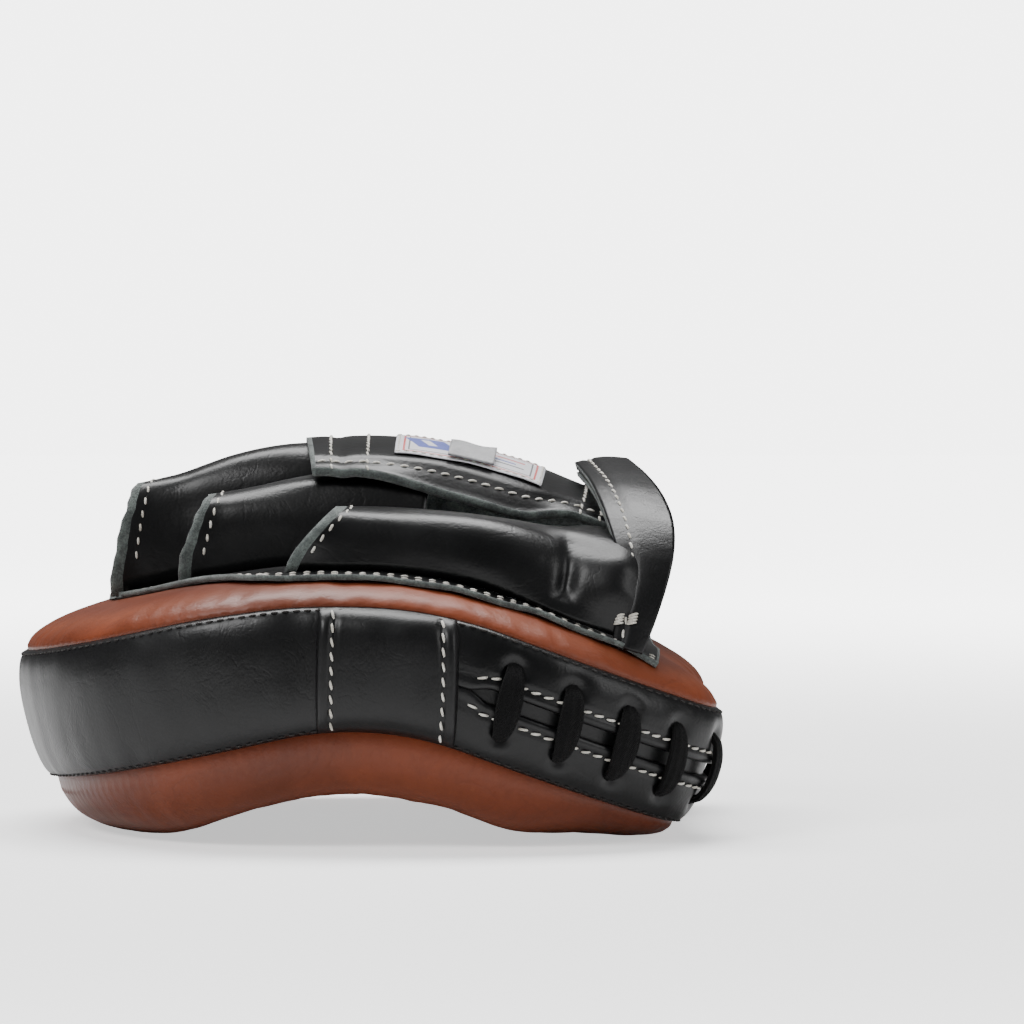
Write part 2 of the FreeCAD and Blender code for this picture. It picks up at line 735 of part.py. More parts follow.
def side_walls(path):
    """Gussets round the pad: one at the finger end, and one on each side of the lacing slit."""
    ring, outside = wall_ring()
    reach = size("wall_bulge") + PAST
    finger_part = half_space("finger_half", FINGER)
    wrist_part = half_space("wrist_half", WRIST)
    upper = layer("upper_region", reach, 0, WALL_TOP.number + PAST)
    lower = layer("lower_region", reach, WALL_BOTTOM.number - PAST, 0)
    slit = lacing_slit()
    holes = lace_hole_punches(path)
    wrist_ring = cut("wrist_ring_slit", common("wrist_ring", ring, wrist_part), slit)
    laced_ring = cut("wrist_ring_laced", wrist_ring, holes)
    pieces = [
        common("finger_end_gusset", ring, finger_part),
        common("wrist_gusset_back", laced_ring, upper),
        common("wrist_gusset_face", laced_ring, lower),
    ]
    return pieces, outside


def side_bands(outside):
    """Padded band over each side of the bend, covering the joint of the gussets."""
    proud = size("band_proud")
    bulge = size("wall_bulge")
    low = WALL_BOTTOM + size("band_step")
    high = WALL_TOP - size("band_step")
    thick = layer("band_outside", bulge + proud, low, high, proud, (low, high))
    blank = cut("band_blank", thick, outside)
    pieces = []
    for name, side in (("little_finger_side_band", -1), ("thumb_side_band", 1)):
        window = doc.addObject("Part::Box", name + "_window")
        bind(window, "Length", size("band_half") * 2)
        bind(window, "Placement.Base.x", -size("band_half"))
        window.Width = FAR
        window.Height = FAR
        window.Placement.Base.y = 0 if side > 0 else -FAR
        pieces.append(common(name, blank, window))
    return pieces


def lacing_welt():
    """Leather strip behind the slit, from one side of the bend to the other."""
    outer_grow = size("wall_bulge") - size("skin") - size("fit_gap")
    inner_grow = outer_grow - size("skin")
    half = size("welt_half")
    outer = layer("welt_outside", outer_grow, -half, half)
    inner = layer("welt_inside", inner_grow, -half - PAST, half + PAST)
    ring = cut("welt_ring", outer, inner)
    return common("lacing_welt", ring, half_space("welt_half_space", WRIST))


def foam_layers():
    """Three bonded foams: firm core between soft face and back layers."""
    gap = size("fit_gap")
    skin = size("skin") + gap
    allowance_face = WALL_BOTTOM + size("skin") + gap
    allowance_back = WALL_TOP - size("skin") - gap
    core = layer("core_foam", -size("core_inset"), allowance_face, allowance_back)
    face = layer("strike_face_foam", -skin, FACE_LEVEL + skin, WALL_BOTTOM - gap,
                 size("face_round") - skin, (FACE_LEVEL + skin,), tapered=True)
    back = layer("back_foam", -skin, WALL_TOP + gap, BACK_LEVEL - skin,
                 size("back_round") - skin, (BACK_LEVEL - skin,))
    return [core, face, back]


# ------------------------------------------------------------------ glove on the back
def cuff_seat():
    """Placement of the cuff's wrist edge, leaning towards the fingers."""
    lean = Placement(Vector(), Rotation(Vector(0, 1, 0), -mm("cuff_lean")))
    return slab_placement(WRIST, mm("cuff_run"), 0, BASE_TOP.number).multiply(lean)


def clear_of_cuff(name, piece):
    """Trim a glove piece where it meets the finger side of the cuff."""
    room = doc.addObject("Part::Box", name + "_trim")
    room.Length = FAR
    room.Width = 2 * FAR
    room.Height = 2 * FAR
    finger_side = -mm("cuff_length") - mm("fit_gap")
    room.Placement = cuff_seat().multiply(Placement(Vector(finger_side, -FAR, -FAR), Rotation()))
    piece.Label = name + "_whole"
    return cut(name, piece, room)


def arch_strip(name, profile, start, finish, finger_run=None, wrist_run=None):
    """A strip that follows the arch: a section drawn across the mitt and turned round the bend.

    start and finish are angles from the middle of the bend; a run carries the section on
    along the slab past that end of the bend.
    """
    body = new_body(name)
    section = sketch_on(body, "YZ_Plane", name + "_bend_section")
    turn_section(section, start)
    profile(section)
    turn_about_bend(body, section, name + "_bend", finish - start, middle=False)
    for angle, run, end in ((-half_bend, finger_run, "finger"), (half_bend, wrist_run, "wrist")):
        if run is None:
            continue
        section = sketch_on(body, "YZ_Plane", f"{name}_{end}_section")
        turn_section(section, angle)
        profile(section)
        pad(body, section, f"{name}_{end}_run", run, reverse=end == "finger")
    doc.recompute()
    return body


def turn_section(sketch, angle):
    """Turn a section sketch about its own horizontal axis, which runs along Y."""
    sketch.AttachmentOffset = Placement(Vector(), Rotation(Vector(1, 0, 0), 1))
    bind(sketch, "AttachmentOffset.Rotation.Angle", angle)


def tunnel_profile(centre, width, height, thickness, floor):
    """Section of a sleeve: two legs on the base under a half-round roof."""
    def draw(sketch):
        outer = as_size(width) / 2
        inner = outer - thickness
        spring = as_size(floor) + height - outer
        middle = Vector(as_size(centre).number, spring.number, 0)
        right = sketch.addGeometry(Part.ArcOfCircle(
            Part.Circle(middle, Vector(0, 0, 1), outer.number), 0, math.pi))
        left = sketch.addGeometry(Part.ArcOfCircle(
            Part.Circle(middle, Vector(0, 0, 1), inner.number), 0, math.pi))
        ground = as_size(floor).number
        legs = []
        for arc, reach, end in ((right, -outer.number, 2), (left, -inner.number, 2),
                                (left, inner.number, 1), (right, outer.number, 1)):
            top = Vector(middle.x + reach, middle.y, 0)
            foot = Vector(middle.x + reach, ground, 0)
            leg = sketch.addGeometry(Part.LineSegment(top, foot))
            sketch.addConstraint(Sketcher.Constraint("Coincident", arc, end, leg, 1))
            sketch.addConstraint(Sketcher.Constraint("Vertical", leg))
            legs.append((leg, foot))
        for (first, start), (second, finish) in ((legs[0], legs[1]), (legs[2], legs[3])):
            sole = sketch.addGeometry(Part.LineSegment(start, finish))
            sketch.addConstraint(Sketcher.Constraint("Coincident", first, 2, sole, 1))
            sketch.addConstraint(Sketcher.Constraint("Coincident", sole, 2, second, 2))
            sketch.addConstraint(Sketcher.Constraint("Horizontal", sole))
        sketch.addConstraint(Sketcher.Constraint("Coincident", right, 3, left, 3))
        for arc in (right, left):
            for end in (1, 2):
                sketch.addConstraint(Sketcher.Constraint("Horizontal", arc, 3, arc, end))
        named_constraint(sketch, "centre", centre, "DistanceX", -1, 1, right, 3)
        named_constraint(sketch, "spring", spring, "DistanceY", -1, 1, right, 3)
        named_constraint(sketch, "outer_radius", outer, "Radius", right)
        named_constraint(sketch, "inner_radius", inner, "Radius", left)
        for index in (0, 2):
            named_constraint(sketch, f"foot_{index}", floor, "DistanceY", -1, 1, legs[index][0], 2)
    return draw


def vault_profile(across, up, outer, inner, near, far):
    """Section of a vaulted sheet: two arcs about one centre, cut off square to the mitt at both edges."""
    def draw(sketch):
        centre = Vector(across.number, up.number, 0)
        arcs = []
        ends = []
        for name, radius in (("outer", outer), ("inner", inner)):
            first = math.acos((far.number - centre.x) / radius.number)
            last = math.acos((near.number - centre.x) / radius.number)
            circle = Part.Circle(centre, Vector(0, 0, 1), radius.number)
            arc = sketch.addGeometry(Part.ArcOfCircle(circle, first, last))
            named_constraint(sketch, name + "_radius", radius, "Radius", arc)
            named_constraint(sketch, name + "_far", far, "DistanceX", -1, 1, arc, 1)
            named_constraint(sketch, name + "_near", near, "DistanceX", -1, 1, arc, 2)
            arcs.append(arc)
            ends.append((circle.value(first), circle.value(last)))
        for end in (1, 2):
            edge = sketch.addGeometry(Part.LineSegment(ends[0][end - 1], ends[1][end - 1]))
            sketch.addConstraint(Sketcher.Constraint("Coincident", arcs[0], end, edge, 1))
            sketch.addConstraint(Sketcher.Constraint("Coincident", arcs[1], end, edge, 2))
        sketch.addConstraint(Sketcher.Constraint("Coincident", arcs[0], 3, arcs[1], 3))
        named_constraint(sketch, "centre_across", across, "DistanceX", -1, 1, arcs[0], 3)
        named_constraint(sketch, "centre_up", up, "DistanceY", -1, 1, arcs[0], 3)
    return draw


def glove_base():
    """Leather sheet sewn to the back cover, stepped where the little finger ends."""
    sheet_layer = layer("glove_base_sheet", -size("core_inset"), BACK_LEVEL, BASE_TOP)
    plan = new_body("glove_base_plan")
    outline = sketch_on(plan, "XY_Plane", "glove_base_outline")
    near = -size("base_near")
    far = size("base_far")
    tip = -size("base_tip")
    step = -size("base_step")
    wrist = size("base_wrist")
    taper = size("base_taper")
    ring_side = near + size("sleeve_pitch") * 1.5
    middle_side = near + size("sleeve_pitch") * 2.5
    polygon(outline, ((step, near), (size("band_half"), near), (wrist, near + taper), (wrist, far - taper),
                      (size("band_half"), far), (step, far), (tip, middle_side + size("sleeve_width") * 2),
                      (tip, middle_side), ((tip + step) / 2, ring_side)))
    pad(plan, outline, "glove_base_block", size("bend_radius") * 2)
    doc.recompute()
    return common("glove_base", sheet_layer, plan)


def finger_sleeves():
    """Four open tunnels side by side; the little finger's also runs back to the cuff."""
    floor = radius_of(BASE_TOP)
    leather = size("base_leather")
    width = size("sleeve_width")
    first = -size("little_finger_offset")
    section = tunnel_profile(first, width, size("little_height"), leather, floor)
    run = size("little_run")
    little = arch_strip("little_finger", section, -size("little_start"), half_bend, wrist_run=run)
    pieces = [clear_of_cuff("little_finger_sleeve", little)]
    for place, finger in enumerate(("ring", "middle", "index"), 1):
        centre = first + size("sleeve_pitch") * place
        section = tunnel_profile(centre, width, size(f"{finger}_height"), leather, floor)
        pieces.append(arch_strip(f"{finger}_finger_sleeve", section, -half_bend, -size("panel_start"),
                                 finger_run=size(f"{finger}_reach")))
    return pieces


def thumb_sleeve():
    """Straight open sleeve on the wrist slab, turned outwards."""
    body = new_body("thumb_sleeve")
    section = sketch_on(body, "YZ_Plane", "thumb_sleeve_section")
    tunnel_profile(0, size("thumb_width"), size("thumb_height"), size("base_leather"), 0)(section)
    pad(body, section, "thumb_sleeve_run", size("thumb_length"), reverse=True)
    doc.recompute()
    middle_run = mm("thumb_run") + mm("thumb_length") / 2
    seat = slab_placement(WRIST, middle_run, mm("thumb_side"), BASE_TOP.number)
    swing = Placement(Vector(), Rotation(Vector(0, 0, 1), -mm("thumb_turn")))
    body.Placement = seat.multiply(swing)
    return body


def panel_round():
    """Radius of the hand panel's vault and the place of its centre, across and up."""
    half = (size("panel_near") + size("panel_far")) / 2
    rise = size("panel_height") - size("panel_edge_height")
    radius = (half * half + rise * rise) / (rise * 2)
    across = (size("panel_far") - size("panel_near")) / 2
    up = radius_of(BASE_TOP) + size("panel_height") - radius
    return radius, across, up


def hand_panels():
    """Vaulted panel over the back of the hand, and the padding under it."""
    radius, across, up = panel_round()
    near = -size("panel_near")
    far = size("panel_far")
    leather = size("panel_leather")
    margin = size("padding_margin")
    start = -size("panel_start")
    back = arch_strip("hand_back", vault_profile(across, up, radius, radius - leather, near, far),
                      start, half_bend, wrist_run=size("panel_run"))
    top = radius - leather
    section = vault_profile(across, up, top, top - size("hand_padding"), near + margin, far - margin)
    padding = arch_strip("hand_padding", section, start, half_bend, wrist_run=size("panel_run") - margin)
    return [clear_of_cuff("hand_back_panel", back), clear_of_cuff("hand_back_padding", padding)]


def thumb_side_panel():
    """Wall between the hand panel's thumb edge and the base."""
    base = radius_of(BASE_TOP)
    top_y = size("panel_far") + size("fit_gap")
    top_z = base + size("panel_edge_height")
    foot_y = size("thumb_panel_foot")
    wall = size("base_leather")

    def draw(sketch):
        knee = base + size("panel_edge_height") / 2
        polygon(sketch, ((foot_y - wall, base), (foot_y, base), (foot_y, knee),
                         (top_y + wall, top_z), (top_y, top_z), (foot_y - wall, knee)))
    run = size("thumb_panel_run")
    wall = arch_strip("thumb_side", draw, -size("panel_start"), half_bend, wrist_run=run)
    return clear_of_cuff("thumb_side_panel", wall)


def cuff_pieces():
    """Band over the wrist opening and its lining, leaning towards the fingers."""
    blanks = []
    inset = size("cuff_leather") + size("fit_gap")
    for name, grow, leather in (("cuff_band", as_size(0), size("cuff_leather")),
                                ("cuff_lining", -inset, size("lining_leather"))):
        body = new_body(name + "_blank")
        section = sketch_on(body, "YZ_Plane", name + "_section")
        cuff_vault(section, -size("cuff_length"), grow, leather)
        pad(body, section, name + "_run", size("cuff_length"), reverse=True)
        doc.recompute()
        body.Placement = cuff_seat()
        blanks.append(body)
    ground = layer("ground_under_cuff", size("wall_bulge"), WALL_BOTTOM, BASE_TOP)
    return [cut("cuff_band", blanks[0], ground), cut("cuff_lining", blanks[1], ground)]


def cuff_vault(sketch, low, grow, leather):
    """Round vault that runs on below the base, to be trimmed by it."""
    half = size("cuff_half")
    rise = size("cuff_height")
    band = (half * half + rise * rise) / (rise * 2)
    centre_z = rise - band
    outer = band + grow
    centre = Vector(0, centre_z.number, 0)
    inner = outer - leather
    arcs = []
    for radius_size in (outer, inner):
        reach = math.asin((low.number - centre.y) / radius_size.number)
        circle = Part.Circle(centre, Vector(0, 0, 1), radius_size.number)
        arcs.append(sketch.addGeometry(Part.ArcOfCircle(circle, reach, math.pi - reach)))
        name = f"radius_{len(arcs)}"
        named_constraint(sketch, name, radius_size, "Radius", arcs[-1])
    sketch.addConstraint(Sketcher.Constraint("Coincident", arcs[0], 3, arcs[1], 3))
    sketch.addConstraint(Sketcher.Constraint("PointOnObject", arcs[0], 3, -2))
    named_constraint(sketch, "centre_up", centre_z, "DistanceY", -1, 1, arcs[0], 3)
    for end, side in ((1, 1), (2, -1)):
        points = []
        for radius_size in (outer, inner):
            across = math.sqrt(radius_size.number ** 2 - (low.number - centre.y) ** 2)
            points.append(Vector(side * across, low.number, 0))
        foot = sketch.addGeometry(Part.LineSegment(*points))
        sketch.addConstraint(Sketcher.Constraint("Coincident", arcs[0], end, foot, 1))
        sketch.addConstraint(Sketcher.Constraint("Coincident", arcs[1], end, foot, 2))
        sketch.addConstraint(Sketcher.Constraint("Horizontal", foot))
        named_constraint(sketch, f"foot_{end}", low, "DistanceY", -1, 1, foot, 1)


def woven_label():
    """Label sewn on the little finger half of the hand panel."""
    radius, across, up = panel_round()
    near = -size("label_side") - size("label_width") / 2
    far = -size("label_side") + size("label_width") / 2
    section = vault_profile(across, up, radius + size("label_thickness"), radius, near, far)
    turned = (up + radius) * (size("bend_angle") / 2) * math.radians(1)
    run = size("label_length") - turned
    return arch_strip("woven_label", section, Size(0, "0"), half_bend, wrist_run=run)


def tag_seat():
    """Placement of the tag's sewn edge: X along the seam, Y up the panel, Z off the label."""
    radius, across, up = panel_round()
    near = -mm("label_side") - mm("label_width") / 2
    middle = near + mm("tag_width") / 2
    lean = math.asin((middle - across.number) / radius.number)
    level = up.number + radius.number * math.cos(lean) - mm("bend_radius")
    touch = arch_placement(mm("tag_angle"), 0, middle, level)
    roll = Placement(Vector(), Rotation(Vector(1, 0, 0), -math.degrees(lean)))
    stand = mm("label_thickness") + mm("fit_gap")
    return touch.multiply(roll).multiply(Placement(Vector(0, -mm("tag_width") / 2, stand), Rotation()))


def size_tag():
    body = new_body("size_tag")
    plan = sketch_on(body, "XY_Plane", "size_tag_outline")
    half = size("tag_length") / 2
    polygon(plan, ((-half, 0), (half, 0), (half, size("tag_width")), (-half, size("tag_width"))))
    pad(body, plan, "size_tag_leaf", size("tag_thickness"))
    doc.recompute()
    body.Placement = tag_seat()
    return body


# ------------------------------------------------------------------ assembly
def build():
    path = WristPath()
    face, ground_level = strike_face_cover()
    walls, outside = side_walls(path)
    parts = [face, target_patch(), back_cover(), *walls, *side_bands(outside), lacing_welt(),
             lace(path), lace_knot(path), *foam_layers(), glove_base(), *finger_sleeves(),
             thumb_sleeve(), *hand_panels(), thumb_side_panel(), *cuff_pieces(), woven_label(), size_tag()]
    return parts, ground_level


def lay_down(parts, ground_level):
    """Turn every part to its resting pose, centred over the origin with its face on the ground."""
    turn = Placement(Vector(), TILT)
    bounds = FreeCAD.BoundBox()
    for part in parts:
        tilted = part.Shape.copy()
        tilted.Placement = turn.multiply(tilted.Placement)
        bounds.add(tilted.optimalBoundingBox(False, False))
    shift = Placement(Vector(-bounds.Center.x, -bounds.Center.y, -ground_level), Rotation())
    for part in parts:
        part.Placement = shift.multiply(turn).multiply(part.Placement)


def check_and_write(parts):
    faults = [item.Name for item in doc.Objects if "Invalid" in item.State or "Error" in item.State]
    for part in parts:
        if part.Shape.isNull() or not part.Shape.isValid():
            faults.append(part.Label + " shape")
    if faults:
        raise RuntimeError("failed: " + ", ".join(faults))
    os.makedirs("parts", exist_ok=True)
    for part in parts:
        part.Shape.exportStep(f"parts/{part.Label}.step")


def report(parts):
    """Print each part's size, the tag's hinge line and the flats that the mitt rests on."""
    for part in parts:
        box = part.Shape.optimalBoundingBox(False, False)
        print(f"{part.Label:24s} solids {len(part.Shape.Solids)} volume {part.Shape.Volume:9.0f} "
              f"x {box.XMin:7.1f} {box.XMax:7.1f} y {box.YMin:7.1f} {box.YMax:7.1f} "
              f"z {box.ZMin:6.1f} {box.ZMax:6.1f}")
        if part.Label == "size_tag":
            axis = part.Placement.Rotation.multVec(Vector(1, 0, 0))
            print("size_tag hinge at", part.Placement.Base, "axis", axis)
        if part.Label == "strike_face_cover":
            for face in part.Shape.Faces:
                if isinstance(face.Surface, Part.Plane) and face.BoundBox.ZMax < SURFACE_MATCH:
                    print("resting flat", face.CenterOfMass, f"{face.Area:.0f} mm2")


parts, ground_level = build()
doc.recompute()
lay_down(parts, ground_level)
doc.recompute()
check_and_write(parts)
report(parts)
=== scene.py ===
# %% [markdown]
# # A curved punch mitt in leather
# A focus mitt is a firm curved pad in a leather skin, with an open-fingered glove sewn on its back.
# The coach's hand goes in the glove and the boxer hits the other side. This file dresses the mitt's
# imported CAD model: the pad is rebuilt as crowned leather over foam, the glove as thin leather sheets
# with raw suede edges, and every seam gets real stitches.

# %% Load the frame
import json
import math

import bpy
import numpy as np
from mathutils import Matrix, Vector, noise


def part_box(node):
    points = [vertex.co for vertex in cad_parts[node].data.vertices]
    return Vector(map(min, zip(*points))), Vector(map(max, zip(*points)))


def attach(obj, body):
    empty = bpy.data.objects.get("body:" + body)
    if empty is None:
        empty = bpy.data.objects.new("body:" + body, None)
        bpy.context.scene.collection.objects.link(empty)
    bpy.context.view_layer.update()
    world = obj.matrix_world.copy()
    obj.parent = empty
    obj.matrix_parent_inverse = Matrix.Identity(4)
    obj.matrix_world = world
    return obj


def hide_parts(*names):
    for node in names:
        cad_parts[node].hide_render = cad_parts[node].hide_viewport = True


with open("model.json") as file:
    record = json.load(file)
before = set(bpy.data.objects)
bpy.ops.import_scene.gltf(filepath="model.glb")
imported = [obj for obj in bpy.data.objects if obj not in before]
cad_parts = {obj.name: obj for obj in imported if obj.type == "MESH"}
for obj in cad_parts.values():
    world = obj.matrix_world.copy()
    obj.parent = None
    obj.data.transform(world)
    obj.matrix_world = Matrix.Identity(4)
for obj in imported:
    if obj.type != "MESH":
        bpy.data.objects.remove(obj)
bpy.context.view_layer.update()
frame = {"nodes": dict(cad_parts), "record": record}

# %% [markdown]
# ## The arch
# The pad is drawn flat first, as a maker cuts it, and then bent. A point of the flat drawing has a
# run along the mitt, a place across it and a level above its middle surface. The bend turns the run
# round an arc, and past the arc it goes on straight. A few small rules of shape, such as an even turn
# from 0 to 1 and a smooth hump, are used all through the file. The angle at which the mitt lies on
# its face, and its place, come from the size tag's hinge and the top of the back cover in the packed
# model.

# %% Flat drawing to the frame
MM = 0.001
HALF_BEND = math.radians(17)
FIRM_RADIUS = 90.0
SOFT_RADIUS = 118.0
WALL_HALF = 19.25
WALL_BULGE = 5.5
BACK_TOP = 28.75
BASE_TOP = 30.25
TAG_ANGLE = math.radians(9)
FINGER_SWELL = 3.2

hinge = frame["record"]["behaviour"]["joints"][0]
hinge_place = [value / MM for value in hinge["pos_m"]]
lean = math.atan2(-hinge["axis"][2], hinge["axis"][0])
tilt = lean - TAG_ANGLE
shift_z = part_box("back_cover")[1].z / MM - FIRM_RADIUS - BACK_TOP
shift_x = hinge_place[0] - (hinge_place[2] - shift_z) * math.tan(lean)
print("tilt", round(math.degrees(tilt), 3), "shift", round(shift_x, 3), round(shift_z, 3))


def smooth(value, low, high):
    """0 below low, 1 above high, and an even turn between."""
    t = np.clip((np.asarray(value, float) - low) / (high - low), 0, 1)
    return t * t * (3 - 2 * t)


def hump(value, centre, width):
    """1 at a centre, fading to nothing on both sides of it within about two widths."""
    return np.exp(-((value - centre) / width) ** 2)


def shares(u, v):
    """Two shares of a surface as arrays of one shape."""
    return np.broadcast_arrays(np.asarray(u, float), np.asarray(v, float))


def bent(run, across, level, radius=SOFT_RADIUS):
    """Points of the flat drawing, in millimetres, as points of the frame, in metres.

    The upper side stands a little farther out towards the finger end, where the foam is full."""
    run, across, level = np.broadcast_arrays(
        np.asarray(run, float), np.asarray(across, float), np.asarray(level, float))
    tangent = math.tan(HALF_BEND)
    half_run = radius * tangent - FIRM_RADIUS * (tangent - HALF_BEND)
    inside = np.clip(run, -half_run, half_run)
    angle = inside / half_run * HALF_BEND
    past = run - inside
    reach = radius + level + FINGER_SWELL * smooth(-run, 5, 60) * np.clip(level / WALL_HALF, 0, 1)
    x = reach * np.sin(angle) + past * np.cos(angle)
    z = reach * np.cos(angle) - past * np.sin(angle) - (radius - FIRM_RADIUS) / math.cos(HALF_BEND)
    turned_x = x * math.cos(tilt) + z * math.sin(tilt) + shift_x
    turned_z = z * math.cos(tilt) - x * math.sin(tilt) + shift_z
    return np.stack([turned_x, across, turned_z], -1) * MM


# %% [markdown]
# ## The outline
# Seen flat, the finger end is nearly a half circle and the wrist end has two round lobes with a
# shallow notch between them. The outline is made of tangent arcs, the way the CAD draws it, and is
# walked once round so that every later piece can be placed by how far along it lies.

# %% Outline of the seams
HALF_WIDTH = 96.0
BEND_END = FIRM_RADIUS * HALF_BEND
FINGER_REACH = 86.0
TIP_RADIUS = 108.0
LOBE_REACH, LOBE_SPREAD, LOBE_RADIUS = 48.7, 48.0, 30.0
NOTCH_RADIUS = 186.0


def arc_points(centre, radius, first, last, step=0.5):
    """Points along an arc between two angles."""
    count = max(3, int(abs(last - first) * radius / step))
    angles = np.linspace(first, last, count)
    return np.stack([centre[0] + radius * np.cos(angles), centre[1] + radius * np.sin(angles)], -1)


def half_outline():
    """The thumb side of the outline, from the finger tip to the middle of the notch."""
    spare = TIP_RADIUS - HALF_WIDTH
    tip_x = TIP_RADIUS - FINGER_REACH
    side_y = (tip_x ** 2 - spare ** 2) / (2 * spare)
    side_radius = HALF_WIDTH - side_y
    joint = math.atan2(side_y, -tip_x)
    tip = arc_points((tip_x, 0), TIP_RADIUS, math.pi, joint)
    side = arc_points((0, side_y), side_radius, joint, math.pi / 2)
    finger = np.concatenate([tip, side[1:]]) - [BEND_END, 0]
    room = HALF_WIDTH - LOBE_SPREAD
    wide = (LOBE_REACH ** 2 + room ** 2 - LOBE_RADIUS ** 2) / (2 * (room - LOBE_RADIUS))
    wide_y = HALF_WIDTH - wide
    notch_x = LOBE_REACH + math.sqrt((NOTCH_RADIUS + LOBE_RADIUS) ** 2 - LOBE_SPREAD ** 2)
    first = math.atan2(LOBE_SPREAD - wide_y, LOBE_REACH)
    second = math.atan2(-LOBE_SPREAD, notch_x - LOBE_REACH)
    wrist_side = arc_points((0, wide_y), wide, math.pi / 2, first)
    lobe = arc_points((LOBE_REACH, LOBE_SPREAD), LOBE_RADIUS, first, second)
    notch = arc_points((notch_x, 0), NOTCH_RADIUS, math.pi + second, math.pi)
    wrist = np.concatenate([wrist_side, lobe[1:], notch[1:]]) + [BEND_END, 0]
    return np.concatenate([finger, wrist])


def whole_outline():
    """The outline once round, from the finger tip by the thumb side, with its outward directions."""
    half = half_outline()
    back = half[::-1][1:-1] * [1, -1]
    points = np.concatenate([half, back])
    ahead = np.roll(points, -1, 0) - np.roll(points, 1, 0)
    ahead /= np.linalg.norm(ahead, axis=1)[:, None]
    return points, np.stack([-ahead[:, 1], ahead[:, 0]], -1)


OUTLINE, OUTWARD = whole_outline()
STEPS = np.linalg.norm(np.roll(OUTLINE, -1, 0) - OUTLINE, axis=1)
RUNS = np.concatenate([[0], np.cumsum(STEPS)])
GIRTH = RUNS[-1]
print("outline", round(GIRTH, 1), "mm round")


def along_outline(place, grow=0.0):
    """Points of the flat outline at distances round it, moved outwards."""
    place = np.mod(np.asarray(place, float), GIRTH)
    closed = np.concatenate([OUTLINE, OUTLINE[:1]])
    normals = np.concatenate([OUTWARD, OUTWARD[:1]])
    point = np.stack([np.interp(place, RUNS, closed[:, axis]) for axis in (0, 1)], -1)
    normal = np.stack([np.interp(place, RUNS, normals[:, axis]) for axis in (0, 1)], -1)
    normal /= np.linalg.norm(normal, axis=-1)[..., None]
    return point + normal * np.asarray(grow, float)[..., None]


def place_of_run(run, side):
    """Distance round the outline where it passes a run along the mitt, on one side."""
    half = OUTLINE[: len(half_outline())]
    distance = np.interp(run, np.maximum.accumulate(half[:, 0]), RUNS[: len(half)])
    return distance if side > 0 else GIRTH - distance


def inside_distance(points):
    """How far flat points lie inside the outline."""
    flat = points.reshape(-1, 2)
    rim = along_outline(np.linspace(0, GIRTH, 690, endpoint=False))
    best = np.full(len(flat), 1e9)
    for start in range(0, len(flat), 4000):
        piece = flat[start:start + 4000]
        gaps = np.linalg.norm(piece[:, None, :] - rim[None, :, :], axis=2)
        best[start:start + 4000] = gaps.min(1)
    return best.reshape(points.shape[:-1])


# %% [markdown]
# ## Meshes from grids
# Nearly every piece here is a sheet, so one helper turns a grid of points into faces, and another
# gives a sheet its thickness with the raw edge as its own material. Small folds come from smooth
# noise that always gives the same value at the same place.

# %% Mesh helpers
def ripple(points, size, seed=0.0):
    """Smooth noise from -1 to 1 at each point, with bumps of a size in metres."""
    flat = np.asarray(points, float).reshape(-1, 3) / size + seed * 7.31
    values = [noise.noise(Vector(point)) for point in flat]
    return np.array(values).reshape(np.shape(points)[:-1])


def grid_faces(rows, columns, wrap=False, start=0):
    """Quads of a grid of points, where wrap joins the last column to the first."""
    faces = []
    for row in range(rows - 1):
        for column in range(columns if wrap else columns - 1):
            beside = (column + 1) % columns
            low = start + row * columns
            high = low + columns
            faces.append((low + column, low + beside, high + beside, high + column))
    return faces


def grid_normals(grid):
    """Unit directions out of a grid of points."""
    rows = np.gradient(grid, axis=0)
    columns = np.gradient(grid, axis=1)
    normals = np.cross(columns, rows)
    length = np.linalg.norm(normals, axis=-1)[..., None]
    return normals / np.maximum(length, 1e-12)


def make_piece(name, points, faces, materials, indices=None):
    """A mesh object in the frame, with its materials."""
    mesh = bpy.data.meshes.new(name)
    mesh.from_pydata([tuple(point) for point in np.asarray(points).reshape(-1, 3)], [], faces)
    for material in materials:
        mesh.materials.append(material)
    if indices is not None:
        mesh.polygons.foreach_set("material_index", indices)
    mesh.polygons.foreach_set("use_smooth", [True] * len(mesh.polygons))
    mesh.update()
    piece = bpy.data.objects.new(name, mesh)
    bpy.context.scene.collection.objects.link(piece)
    return piece


def mark(piece, name, values):
    """Keep a number for each point of a piece, for its material to read."""
    attribute = piece.data.attributes.new(name, "FLOAT", "POINT")
    attribute.data.foreach_set("value", np.asarray(values, np.float32).ravel())


